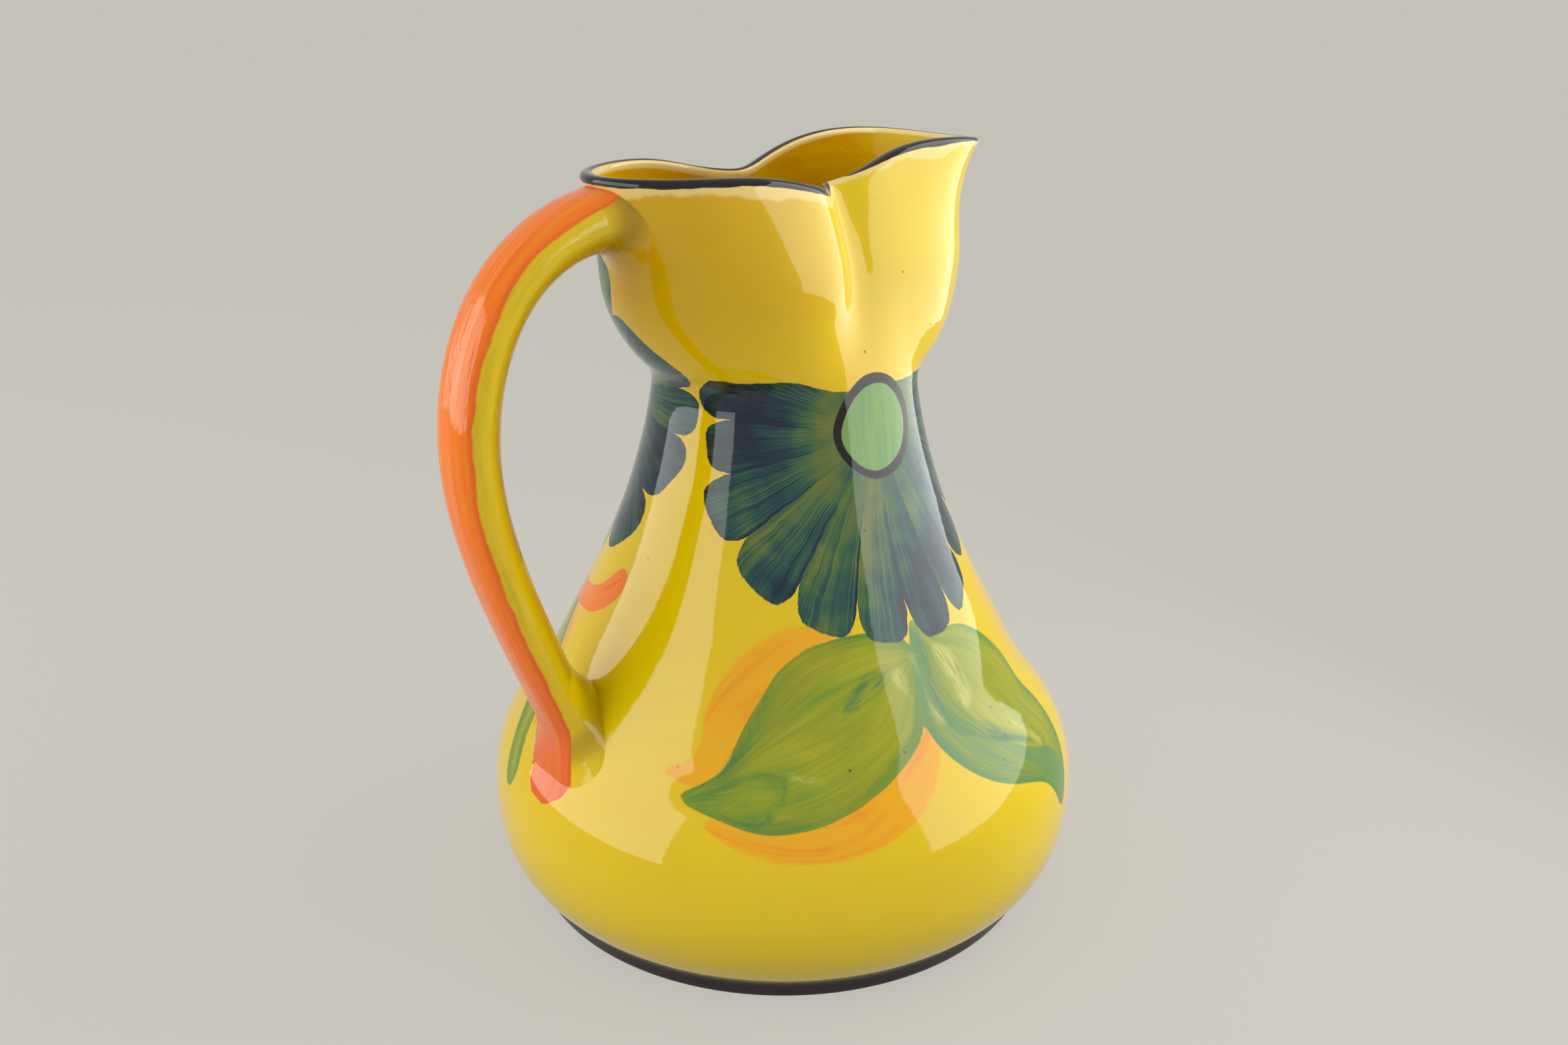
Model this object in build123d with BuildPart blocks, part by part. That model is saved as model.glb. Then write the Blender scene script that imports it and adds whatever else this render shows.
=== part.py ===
"""Hand-painted earthenware pouring jug, in millimetres.

A squat belly on a low foot ring narrows to a neck and opens again into a collar.
The collar is pinched in at both sides, which leaves a round lobe at the back and
a pouring beak at the front.  A strap handle runs from the back of the collar to
the shoulder and is stuck on with a roll of slip at each end.

Origin: centre of the foot on the table.  +Z up, beak towards +X, handle at -X,
and the XZ plane is the mirror plane.
"""
from build123d import *
import math
import os

os.makedirs("parts", exist_ok=True)

# ------------------------------------------------------------------ foot
foot_radius = 78.0
foot_height = 5.0
foot_width = 7.0  # width of the standing ring
foot_recess = 3.5  # how far the underside is hollowed
foot_edge = 0.9  # rounding of the ring's edges

# ------------------------------------------------------------------ belly and neck
belly_radius = 89.0
belly_height = 31.0
shoulder_radius = 80.8
shoulder_height = 56.0
waist_radius = 66.6  # where the belly turns into the cone of the neck
waist_height = 78.0
throat_radius = 51.9  # half way up the cone
throat_height = 107.0
neck_radius = 37.5
neck_height = 158.5
body_wall = 5.0

# ------------------------------------------------------------------ collar, at its fullest
collar_rise = 30.5  # from the neck up to the fullest section
collar_back = 53.6
collar_front = 56.3
collar_lobe_half = 38.6
collar_lobe_x = -18.0
collar_spout_half = 33.0
collar_spout_x = 16.0
collar_pinch_half = 31.2
lobe_swell = 0.79  # less makes the collar spread sooner above the neck
beak_swell = 0.54

# ------------------------------------------------------------------ collar, at the lip
lip_rise = 55.5  # from the neck up to the lip's section
lip_back = 61.0
lip_front = 62.6
lip_lobe_half = 29.5
lip_lobe_x = -22.0
lip_spout_half = 24.8
lip_spout_x = 20.0
lip_pinch_half = 20.0
lip_point = 0.7  # 1 is a plain ellipse, less gives the beak fuller cheeks
pinch_x = -1.5
crease_reach = 6.5  # half the width of the fold
collar_wall = 4.4
rim_round = 1.9
rim_skim = 0.05  # taken off the top of the rim, so that its flat meets both roundings

# heights of the wavy rim above the table, from back to beak
rim_back = 214.4
rim_pinch = 210.8
rim_crest = 220.0
rim_tip = 217.6
rim_crest_x = 42.0
rim_overrun = 25.0  # how far the rim's line runs on past the beak

# ------------------------------------------------------------------ handle
strap_half_width = 9.8
strap_thickness = 14.6
strap_reach = 99.3  # from the axis out to the middle of the grip
strap_top = 204.3  # middle of the strap where it leaves the collar
grip_height = 151.0
strap_foot = 66.0  # middle of the strap where it meets the shoulder
strap_bury = 6.6  # how far the strap's line starts inside the collar
strap_stations = 14

# ------------------------------------------------------------------ slip round the handle's ends
slip_feather = 0.1  # the slip dives this far under the strap, so that it ends in a thin edge
slip_stations = 6
upper_slip_climb = 6.5  # how far it climbs out along the strap
upper_slip_above = 0.5
upper_slip_below = 2.2
upper_slip_beside = 1.5
lower_slip_climb = 35.0  # from the buried end of the strap up into the crotch
lower_slip_reach = 20.0  # the same at the sides and outside
lower_slip_crotch = 3.6
lower_slip_tail = 9.8  # smeared down the belly below the strap
lower_slip_beside = 15.0
crotch_run = 22.0  # where the crotch lies along the strap, from its buried end


# ------------------------------------------------------------------ lines of the body
def between(first, second, share):
    """The value that lies a share of the way from first to second."""
    return first + (second - first) * share


def body_line():
    """Points of the outer line, radius and height, from the foot up to the neck."""
    return [
        (foot_radius + 0.4, foot_height),
        (between(foot_radius, belly_radius, 0.8), between(foot_height, belly_height, 0.42)),
        (belly_radius, belly_height),
        (between(belly_radius, shoulder_radius, 0.24), between(belly_height, shoulder_height, 0.54)),
        (shoulder_radius, shoulder_height),
        (between(shoulder_radius, waist_radius, 0.53), between(shoulder_height, waist_height, 0.46)),
        (waist_radius, waist_height),
        (throat_radius, throat_height),
        (between(throat_radius, neck_radius, 0.62), between(throat_height, neck_height, 0.47)),
        (neck_radius, neck_height),
    ]


def inner_line(wall, steps=12):
    """Points of the inner line: the outer line moved in by the wall."""
    with BuildLine():
        outer = Spline(*body_line())
    points = []
    for step in range(steps + 1):
        place = outer @ (step / steps)
        along = outer % (step / steps)
        points.append((place.X - along.Y * wall, place.Y + along.X * wall))
    return points


# ------------------------------------------------------------------ collar sections
lobe_turns = (0.0, 24.0, 47.0, 69.0, 90.0)  # degrees round a lobe from the mirror plane
pinch_station = len(lobe_turns) + 1


def half_plan(back, lobe_x, lobe_half, pinch_half, spout_x, spout_half, front, point=1.0):
    """Half outline of the collar, from the back lobe round to the beak."""
    angles = [math.radians(turn) for turn in lobe_turns]
    lobe = [(lobe_x - (back + lobe_x) * math.cos(a), lobe_half * math.sin(a)) for a in angles]
    fold = [
        (pinch_x - crease_reach, between(pinch_half, lobe_half, 0.6)),
        (pinch_x, pinch_half),
        (pinch_x + crease_reach, between(pinch_half, spout_half, 0.45)),
    ]
    beak = [
        (spout_x + (front - spout_x) * abs(math.cos(a)) ** point, spout_half * math.sin(a))
        for a in angles
    ]
    return lobe + fold + beak[::-1]


full_plan = half_plan(
    collar_back, collar_lobe_x, collar_lobe_half, collar_pinch_half,
    collar_spout_x, collar_spout_half, collar_front,
)
lip_plan = half_plan(
    lip_back, lip_lobe_x, lip_lobe_half, lip_pinch_half,
    lip_spout_x, lip_spout_half, lip_front, lip_point,
)


def half_ring(height):
    """Half outline of the outer collar at a height above the neck."""
    rise = min(max(height, 0.0) / collar_rise, 1.0)
    over = max(height - collar_rise, 0.0) / (lip_rise - collar_rise)
    lean = over**1.2  # the sides draw in almost evenly
    flare = over**2.5  # the beak throws out late
    points = []
    for station, (full, lip) in enumerate(zip(full_plan, lip_plan)):
        push = flare if station > pinch_station + 1 else lean
        x = between(full[0], lip[0], push)
        y = between(full[1], lip[1], lean)
        reach = math.hypot(*full)
        ease = rise ** (beak_swell if station > pinch_station else lobe_swell)
        swell = rise if reach < neck_radius else math.sin(math.pi / 2 * ease)
        base = neck_radius / reach
        x = between(base * full[0], x, swell)
        y = between(base * full[1], y, swell)
        points.append((x, y))
    return points


def collar_ring(height, inset=0.0):
    """Closed outline of the collar at a height above the neck, moved in by inset."""
    half = half_ring(height)
    ring = half + [(x, -y) for x, y in half[-2:0:-1]]
    moved = []
    for index, (x, y) in enumerate(ring):
        before = ring[index - 1]
        after = ring[(index + 1) % len(ring)]
        run_x = after[0] - before[0]
        run_y = after[1] - before[1]
        run = math.hypot(run_x, run_y)
        moved.append((x + inset * run_y / run, y - inset * run_x / run))
    return moved


collar_levels = (1.5, 4.5, 9.0, 14.5, 21.5, 30.5, 38.5, 46.5, 53.5, 60.5, 67.5)

# ------------------------------------------------------------------ rim
rim_line = [
    (-lip_back - 8.0, rim_back - 0.3),
    (-lip_back + 14.0, rim_back + 0.4),
    (lip_lobe_x, rim_back - 0.7),
    (pinch_x, rim_pinch),
    (between(pinch_x, rim_crest_x, 0.45), between(rim_pinch, rim_crest, 0.7)),
    (rim_crest_x, rim_crest),
    (lip_front + 1.0, rim_tip + 0.3),
    (lip_front + rim_overrun, rim_tip - 5.0),
]
collar_top = neck_height + collar_levels[-1]
above_top = collar_top + 2 * collar_wall


def lies_on_rim(edge, ring_length):
    """True for the long edges where a side wall meets the wavy top."""
    box = edge.bounding_box()
    return box.min.Z > rim_pinch - 1 and box.max.Z < rim_crest + 1 and edge.length > ring_length


# ------------------------------------------------------------------ outer form
with BuildPart() as above_rim:
    with BuildSketch(Plane.XZ.offset(-belly_radius)):
        with BuildLine():
            waves = Spline(*rim_line)
            Polyline(waves @ 1, (rim_line[-1][0], above_top), (rim_line[0][0], above_top), waves @ 0)
        make_face()
    extrude(amount=2 * belly_radius)

with BuildPart() as envelope:
    with BuildSketch(Plane.XZ):
        with BuildLine():
            side = Spline(*body_line())
            Polyline(side @ 1, (0, neck_height), (0, 0), (foot_radius, 0), side @ 0)
        make_face()
    revolve(axis=Axis.Z)
    with BuildSketch(Plane.XY.offset(neck_height)):
        Circle(neck_radius)
    for level in collar_levels:
        with BuildSketch(Plane.XY.offset(neck_height + level)):
            with BuildLine():
                Spline(*collar_ring(level), periodic=True)
            make_face()
    loft()
    add(above_rim.part, mode=Mode.SUBTRACT)
    fillet([edge for edge in envelope.edges() if lies_on_rim(edge, lip_back)], rim_round)

# ------------------------------------------------------------------ inner form
with BuildPart() as cavity:
    with BuildSketch(Plane.XZ):
        with BuildLine():
            inner = inner_line(body_wall)
            wall = Spline(*inner)
            Polyline(wall @ 1, (0, inner[-1][1]), (0, inner[0][1]), wall @ 0)
        make_face()
    revolve(axis=Axis.Z)
    with BuildSketch(Plane.XY.offset(inner[-1][1])):
        Circle(inner[-1][0])
    for level in collar_levels:
        shelf = collar_wall * (1 - min(level / collar_rise, 1.0))
        with BuildSketch(Plane.XY.offset(neck_height + level + shelf)):
            with BuildLine():
                Spline(*collar_ring(level, collar_wall), periodic=True)
            make_face()
    loft()
    add(above_rim.part.moved(Location((0, 0, -rim_skim))))
    fillet([edge for edge in cavity.edges() if lies_on_rim(edge, lip_back)], rim_round)

# ------------------------------------------------------------------ body
with BuildPart() as jug_body:
    add(envelope.part)
    add(cavity.part, mode=Mode.SUBTRACT)
    with BuildSketch(Plane.XZ):
        with BuildLine():
            ring_inside = foot_radius - foot_width
            Polyline(
                (0, -1),
                (ring_inside, -1),
                (ring_inside, 0),
                (ring_inside - 1.5, foot_recess),
                (0, foot_recess),
                close=True,
            )
        make_face()
    revolve(axis=Axis.Z, mode=Mode.SUBTRACT)
    fillet(jug_body.edges().group_by(Axis.Z)[0], foot_edge)

# ------------------------------------------------------------------ handle
strap_seat = half_ring(strap_top - neck_height)[0][0]  # back of the collar behind the strap
strap_line = [
    (strap_seat + strap_bury, strap_top + 0.7),
    (between(strap_seat, -strap_reach, 0.226), strap_top - 1.3),
    (between(strap_seat, -strap_reach, 0.65), strap_top - 13.0),
    (between(strap_seat, -strap_reach, 0.942), grip_height + 17.0),
    (-strap_reach, grip_height - 3.0),
    (between(-strap_reach, -waist_radius, 0.1865), between(strap_foot, grip_height, 0.565)),
    (between(-strap_reach, -waist_radius, 0.56), between(strap_foot, grip_height, 0.17)),
    (between(-strap_reach, -waist_radius, 0.7645), strap_foot - 2.0),
    (between(-strap_reach, -waist_radius, 0.908), strap_foot - 12.0),
]
with BuildLine(Plane.XZ) as strap_path:
    Spline(*strap_line)
strap_curve = strap_path.edge()


def strap_plane(share):
    """Plane across the strap: local X runs out of the loop, local Y across it."""
    along = strap_curve % share
    return Plane(origin=strap_curve @ share, x_dir=Vector(0, 1, 0).cross(along), z_dir=along)


def strap_outline(half_width, thickness, above=0.0, below=0.0, beside=0.0):
    """Closed section of the strap: flatter outside, rounder towards the fingers."""
    wide = half_width + beside
    out = 0.44 * thickness + above
    back = 0.56 * thickness + below
    half = [
        (out, 0.0),
        (0.86 * out, 0.6 * wide),
        (0.12 * out, wide),
        (-0.66 * back, 0.72 * wide),
        (-back, 0.0),
    ]
    return half + [(x, -y) for x, y in half[-2:0:-1]]


def strap_size(share):
    """Half width and thickness of the strap, fuller where it joins the jug."""
    top_swell = max(0.0, 1 - share / 0.22) ** 2
    foot_swell = max(0.0, (share - 0.8) / 0.2) ** 2
    half_width = strap_half_width + 0.8 * top_swell + 2.0 * foot_swell
    thickness = strap_thickness * (1 - 0.1 * share) + 2.6 * top_swell + 2.0 * foot_swell
    return half_width, thickness


with BuildPart() as handle:
    for station in range(strap_stations + 1):
        share = station / strap_stations
        with BuildSketch(strap_plane(share)):
            with BuildLine():
                Spline(*strap_outline(*strap_size(share)), periodic=True)
            make_face()
    loft()
    add(envelope.part, mode=Mode.SUBTRACT)

# ------------------------------------------------------------------ slip that sticks the handle on


def growth(spread, climb, run, power=2.0):
    """How far the slip stands out from the strap, a run away from where it is thickest."""
    return spread * max(0.0, 1 - run / climb) ** power - slip_feather


def slip_outline(share, above, below, beside):
    """Section of the slip: the strap's own section, grown on each side."""
    half_width, thickness = strap_size(share)
    return strap_outline(half_width, thickness, above, below, beside)


with BuildPart() as upper_slip_joint:
    for step in range(slip_stations + 1):
        past_wall = between(-strap_bury, upper_slip_climb, step / slip_stations)
        share = (past_wall + strap_bury) / strap_curve.length
        above = growth(upper_slip_above, upper_slip_climb, max(0.0, past_wall))
        below = growth(upper_slip_below, upper_slip_climb, past_wall)
        beside = growth(upper_slip_beside, upper_slip_climb, past_wall)
        with BuildSketch(strap_plane(share)):
            with BuildLine():
                Spline(*slip_outline(share, above, below, beside), periodic=True)
            make_face()
    loft()
    add(envelope.part, mode=Mode.SUBTRACT)
    add(handle.part, mode=Mode.SUBTRACT)

with BuildPart() as lower_slip_joint:
    for step in range(slip_stations + 1):
        from_end = lower_slip_climb * step / slip_stations
        share = 1 - from_end / strap_curve.length
        above = growth(lower_slip_tail, lower_slip_reach, from_end)
        below = growth(lower_slip_crotch, lower_slip_climb - crotch_run, max(0.0, from_end - crotch_run))
        beside = growth(lower_slip_beside, lower_slip_reach, from_end, 1.5)
        with BuildSketch(strap_plane(share)):
            with BuildLine():
                Spline(*slip_outline(share, above, below, beside), periodic=True)
            make_face()
    loft()
    add(envelope.part, mode=Mode.SUBTRACT)
    add(handle.part, mode=Mode.SUBTRACT)

jug_body.part.label = "jug_body"
handle.part.label = "handle"
upper_slip_joint.part.label = "upper_slip_joint"
lower_slip_joint.part.label = "lower_slip_joint"
export_step(jug_body.part, "parts/jug_body.step")
export_step(handle.part, "parts/handle.step")
export_step(upper_slip_joint.part, "parts/upper_slip_joint.step")
export_step(lower_slip_joint.part, "parts/lower_slip_joint.step")
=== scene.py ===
"""Hand-painted earthenware pouring jug: the glazed and painted form, with its stage."""
import math
from functools import cache

import bpy
import numpy as np
from bpy.props import FloatProperty, FloatVectorProperty, IntProperty, PointerProperty
from mathutils import Matrix, Vector


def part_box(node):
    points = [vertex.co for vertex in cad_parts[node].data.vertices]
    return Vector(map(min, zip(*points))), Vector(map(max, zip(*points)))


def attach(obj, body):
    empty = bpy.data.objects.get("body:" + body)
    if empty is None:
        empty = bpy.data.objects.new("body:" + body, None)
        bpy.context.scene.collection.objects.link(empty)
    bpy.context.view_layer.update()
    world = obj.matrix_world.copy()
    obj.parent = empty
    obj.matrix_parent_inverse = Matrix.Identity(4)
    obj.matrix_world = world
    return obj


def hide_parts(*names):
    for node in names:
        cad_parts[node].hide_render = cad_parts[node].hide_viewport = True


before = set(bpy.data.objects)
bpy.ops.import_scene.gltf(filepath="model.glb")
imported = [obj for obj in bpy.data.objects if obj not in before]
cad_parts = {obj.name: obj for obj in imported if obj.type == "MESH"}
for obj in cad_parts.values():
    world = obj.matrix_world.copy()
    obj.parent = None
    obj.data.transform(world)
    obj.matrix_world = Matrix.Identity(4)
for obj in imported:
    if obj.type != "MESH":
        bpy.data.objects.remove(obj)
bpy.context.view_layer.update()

bl_info = {
    "name": "Painted Pouring Jug",
    "version": (1, 0, 0),
    "blender": (4, 5, 0),
    "location": "View3D > Sidebar > Jug",
    "description": "Builds a hand-painted glazed earthenware jug around its solid model",
    "category": "Object",
}

MM = 0.001
_, body_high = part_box("jug_body")

# ---------------------------------------------------------------- sizes of the clay, in millimetres
FOOT_RADIUS = 78.0
FOOT_HEIGHT = 5.0
FOOT_WIDTH = 7.0
FOOT_RECESS = 3.5
FOOT_EDGE = 0.9
FLOOR_RINGS = (25.0, 50.0)  # radii of the rows across the underside and across the floor inside
BELLY_RADIUS = body_high.y / MM
BELLY_HEIGHT = 31.0
SHOULDER = (80.8, 56.0)
WAIST = (66.6, 78.0)
THROAT = (51.9, 107.0)
NECK_RADIUS = 37.5
NECK_HEIGHT = 158.5
BODY_WALL = 5.0

COLLAR_RISE = 30.5
LIP_RISE = 55.5
COLLAR_WALL = 4.4
RIM_ROUND = 1.9
FOLD_X = -1.5
FOLD_REACH = 6.5
LOBE_SWELL = 0.79
BEAK_SWELL = 0.54
LOBE_TURNS = (0.0, 24.0, 47.0, 69.0, 90.0)
FOLD_STATION = len(LOBE_TURNS) + 1
COLLAR_LEVELS = (1.5, 4.5, 9.0, 14.5, 21.5, 30.5, 38.5, 46.5, 53.5, 60.5, 67.5)
RIM_BACK = 214.4
RIM_FOLD = 210.8
RIM_CREST = 220.0
RIM_TIP = 217.6
RIM_CREST_X = 42.0
LIP_BACK = 61.0
LIP_FRONT = 62.6
LIP_LOBE_X = -22.0

STRAP_HALF_WIDTH = 9.8
STRAP_THICKNESS = 14.6
STRAP_TAPER = 0.1  # share of its thickness that it loses on the way down
TOP_SWELL = 0.22  # share of its length over which it swells towards the collar
TOP_WIDENING = 0.8
TOP_THICKENING = 2.6
FOOT_SWELL = 0.2  # share of its length over which it swells towards the shoulder
FOOT_GROWTH = 2.0  # added there to its half width and to its thickness
STRAP_REACH = 99.3
STRAP_TOP = 204.3
GRIP_HEIGHT = 151.0
STRAP_FOOT = 66.0
STRAP_BURY = 6.6
SEAT_DEPTH = 0.8  # how far the ends of the handle reach into the wall

SLIP_FEATHER = 0.1  # the slip dives this far under the strap, so that it ends in a thin edge
SLIP_INSET = 0.6  # its inner skin lies this far under the strap's own
UPPER_SLIP_CLIMB = 6.5  # how far it climbs out along the strap
UPPER_SLIP_ABOVE = 0.5
UPPER_SLIP_BELOW = 2.2
UPPER_SLIP_BESIDE = 1.5
LOWER_SLIP_CLIMB = 35.0  # from the buried end of the strap up into the crotch
LOWER_SLIP_REACH = 20.0  # the same at the sides and outside
LOWER_SLIP_CROTCH = 3.6
CROTCH_RUN = 22.0  # from the buried end of the strap to the crotch
LOWER_SLIP_TAIL = 9.8  # smeared down the belly below the strap
LOWER_SLIP_BESIDE = 15.0


def between(first, second, share):
    """The value that lies a share of the way from first to second."""
    return first + (second - first) * share


# ---------------------------------------------------------------- smooth lines
def chord_knots(points, closed=False):
    """Places of the points along their line, from 0 to 1."""
    points = np.asarray(points, float)
    if closed:
        points = np.vstack([points, points[:1]])
    steps = np.linalg.norm(np.diff(points, axis=0), axis=1)
    return np.concatenate([[0.0], np.cumsum(steps)]) / steps.sum()


def end_slope(knots, values):
    """Slope at the first of four points, from the cubic through them."""
    return np.linalg.solve(np.vander(knots - knots[0], increasing=True), values)[1]


class Cubic:
    """A smooth line, or a sheet of such lines side by side, through given points."""

    def __init__(self, points, knots=None, closed=False):
        self.points = np.asarray(points, float)
        self.knots = chord_knots(points, closed) if knots is None else knots
        count = len(self.points)
        flat = self.points.reshape(count, -1)
        gaps = np.diff(self.knots)
        rows = np.zeros((count, count))
        right = np.zeros_like(flat)
        for i in range(count):
            if not closed and i in (0, count - 1):
                rows[i, i] = 1.0
                four = slice(0, 4) if i == 0 else slice(count - 1, count - 5, -1)
                right[i] = end_slope(self.knots[four], flat[four])
                continue
            before, after, ahead = gaps[i - 1], gaps[i], (i + 1) % count
            rows[i, i - 1] += 1 / before
            rows[i, i] += 2 / before + 2 / after
            rows[i, ahead] += 1 / after
            right[i] = 3 * ((flat[i] - flat[i - 1]) / before**2 + (flat[ahead] - flat[i]) / after**2)
        self.slopes = np.linalg.solve(rows, right).reshape(self.points.shape)

    def at(self, where, column=None):
        """Points at these places; with column, each place belongs to one line of the sheet."""
        where = np.asarray(where, float)
        cell = np.clip(np.searchsorted(self.knots, where, side="right") - 1, 0, len(self.knots) - 2)
        gap = self.knots[cell + 1] - self.knots[cell]
        share = (where - self.knots[cell]) / gap
        ahead = (cell + 1) % len(self.points)
        here = cell if column is None else (cell, column)
        there = ahead if column is None else (ahead, column)
        first, second = self.points[here], self.points[there]
        extra = (1,) * (first.ndim - share.ndim)
        share, gap = share.reshape(share.shape + extra), gap.reshape(gap.shape + extra)
        rest = 1 - share
        return (
            first * (1 + 2 * share) * rest**2 + second * (3 - 2 * share) * share**2
            + gap * share * rest * (self.slopes[here] * rest - self.slopes[there] * share)
        )

    def along(self, where):
        """Unit direction of the line at these places."""
        step = 1e-5
        where = np.clip(where, step, 1 - step)
        run = self.at(where + step) - self.at(where - step)
        return run / np.linalg.norm(run, axis=-1, keepdims=True)

    def length(self):
        """Length of the line."""
        return np.linalg.norm(np.diff(self.at(np.linspace(0, 1, 2001)), axis=0), axis=1).sum()


def even_places(line, spacing):
    """Places along a line that are the same distance apart."""
    fine = np.linspace(0, 1, 2000)
    count = max(2, round(line.length() / spacing))
    return np.interp(np.linspace(0, 1, count + 1), chord_knots(line.at(fine)), fine)


# ---------------------------------------------------------------- thrown body
body_line = Cubic([
    (FOOT_RADIUS + 0.4, FOOT_HEIGHT),
    (between(FOOT_RADIUS, BELLY_RADIUS, 0.8), between(FOOT_HEIGHT, BELLY_HEIGHT, 0.42)),
    (BELLY_RADIUS, BELLY_HEIGHT),
    (between(BELLY_RADIUS, SHOULDER[0], 0.24), between(BELLY_HEIGHT, SHOULDER[1], 0.54)),
    SHOULDER,
    (between(SHOULDER[0], WAIST[0], 0.53), between(SHOULDER[1], WAIST[1], 0.46)),
    WAIST,
    THROAT,
    (between(THROAT[0], NECK_RADIUS, 0.62), between(THROAT[1], NECK_HEIGHT, 0.47)),
    (NECK_RADIUS, NECK_HEIGHT),
])
body_points = body_line.at(np.linspace(0, 1, 400))


def body_radius(height):
    """Radius of the thrown body at a height."""
    return np.interp(height, body_points[:, 1], body_points[:, 0])


def inner_body_line(steps=12):
    """The inner line of the body: the outer line moved in by the wall."""
    shares = np.linspace(0, 1, steps + 1)
    along = body_line.along(shares)
    return Cubic(body_line.at(shares) + BODY_WALL * np.column_stack([-along[:, 1], along[:, 0]]))


# ---------------------------------------------------------------- collar
def half_plan(back, lobe_x, lobe_half, fold_half, spout_x, spout_half, front, point=1.0):
    """Half outline of the collar, from the back lobe round to the beak."""
    angles = np.radians(LOBE_TURNS)
    lobe = [(lobe_x - (back + lobe_x) * math.cos(a), lobe_half * math.sin(a)) for a in angles]
    fold = [
        (FOLD_X - FOLD_REACH, between(fold_half, lobe_half, 0.6)),
        (FOLD_X, fold_half),
        (FOLD_X + FOLD_REACH, between(fold_half, spout_half, 0.45)),
    ]
    beak = [
        (spout_x + (front - spout_x) * abs(math.cos(a)) ** point, spout_half * math.sin(a))
        for a in angles
    ]
    return lobe + fold + beak[::-1]


full_plan = half_plan(
    back=53.6, lobe_x=-18.0, lobe_half=38.6, fold_half=31.2, spout_x=16.0, spout_half=33.0, front=56.3,
)
lip_plan = half_plan(
    back=LIP_BACK, lobe_x=LIP_LOBE_X, lobe_half=29.5, fold_half=20.0,
    spout_x=20.0, spout_half=24.8, front=LIP_FRONT, point=0.7,
)


def mirrored(half):
    """A closed outline from its first half, whose ends lie on the mirror line."""
    return np.array(half + [(x, -y) for x, y in half[-2:0:-1]])


def collar_ring(height, inset=0.0):
    """Closed outline of the collar at a height above the neck, moved in by inset."""
    rise = min(max(height, 0.0) / COLLAR_RISE, 1.0)
    over = max(height - COLLAR_RISE, 0.0) / (LIP_RISE - COLLAR_RISE)
    lean, flare = over**1.2, over**2.5
    half = []
    for station, (full, lip) in enumerate(zip(full_plan, lip_plan)):
        x = between(full[0], lip[0], flare if station > FOLD_STATION + 1 else lean)
        y = between(full[1], lip[1], lean)
        reach = math.hypot(*full)
        ease = rise ** (BEAK_SWELL if station > FOLD_STATION else LOBE_SWELL)
        swell = rise if reach < NECK_RADIUS else math.sin(math.pi / 2 * ease)
        base = NECK_RADIUS / reach
        half.append((between(base * full[0], x, swell), between(base * full[1], y, swell)))
    ring = mirrored(half)
    run = np.roll(ring, -1, axis=0) - np.roll(ring, 1, axis=0)
    run /= np.linalg.norm(run, axis=1, keepdims=True)
    return ring + inset * np.column_stack([run[:, 1], -run[:, 0]])


def ring_columns(ring, per_station):
    """Points of the smooth outline through the ring, with so many columns at each station."""
    line = Cubic(ring, closed=True)
    stations = np.arange(len(ring) * per_station) / per_station
    return line.at(np.interp(stations, np.arange(len(ring) + 1), line.knots))


class CollarSheet:
    """One skin of the collar: a smooth sheet through its stacked outlines."""

    def __init__(self, outlines, heights):
        points = np.array([
            np.column_stack([outline, np.full(len(outline), height)])
            for outline, height in zip(outlines, heights)
        ])
        step = np.linalg.norm(np.diff(points, axis=0), axis=2).mean(axis=1)
        knots = np.concatenate([[0.0], np.cumsum(step)]) / step.sum()
        self.sheet = Cubic(points, knots)
        self.columns = np.arange(points.shape[1])
        self.fine = np.linspace(0, 1, 4001)
        self.fine_height = Cubic(np.array(heights, float)[:, None], knots).at(self.fine)[:, 0]

    def place(self, height):
        """Place up the sheet that lies at a height."""
        return np.interp(height, self.fine_height, self.fine)

    def at_place(self, place):
        """Every column's point at its own place up the sheet."""
        return self.sheet.at(np.broadcast_to(place, self.columns.shape), self.columns)

    def at_height(self, height):
        """Every column's point at its own height."""
        return self.at_place(self.place(height))


rim_points = Cubic([
    (-LIP_BACK - 8.0, RIM_BACK - 0.3),
    (-LIP_BACK + 14.0, RIM_BACK + 0.4),
    (LIP_LOBE_X, RIM_BACK - 0.7),
    (FOLD_X, RIM_FOLD),
    (between(FOLD_X, RIM_CREST_X, 0.45), between(RIM_FOLD, RIM_CREST, 0.7)),
    (RIM_CREST_X, RIM_CREST),
    (LIP_FRONT + 1.0, RIM_TIP + 0.3),
    (LIP_FRONT + 25.0, RIM_TIP - 5.0),
]).at(np.linspace(0, 1, 2001))


def rim_wave(x):
    """Height of the wavy rim above the table."""
    return np.interp(x, rim_points[:, 0], rim_points[:, 1])


# ---------------------------------------------------------------- meshes
def make_piece(name, points, faces, fields, material, node):
    """A smooth piece from points in millimetres, which stands for a node of the solid model."""
    mesh = bpy.data.meshes.new(name)
    mesh.from_pydata((np.asarray(points) * MM).tolist(), [], faces)
    mesh.validate()
    for field, values in fields.items():
        values = np.asarray(values, np.float32)
        kind, key = ("FLOAT", "value") if values.ndim == 1 else ("FLOAT_VECTOR", "vector")
        mesh.attributes.new(field, kind, "POINT").data.foreach_set(key, values.ravel())
    mesh.shade_smooth()
    mesh.materials.append(material)
    piece = bpy.data.objects.new(name, mesh)
    bpy.context.scene.collection.objects.link(piece)
    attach(piece, "root")
    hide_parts(node)


def grid_faces(rows, columns, closed=False):
    """Quads between rows of points that run round; closed joins the last row to the first."""
    low = np.arange(rows if closed else rows - 1)[:, None] * columns
    high = (low + columns) % (rows * columns)
    here = np.arange(columns)
    ahead = (here + 1) % columns
    return np.stack([low + here, low + ahead, high + ahead, high + here], axis=-1).reshape(-1, 4).tolist()


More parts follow.
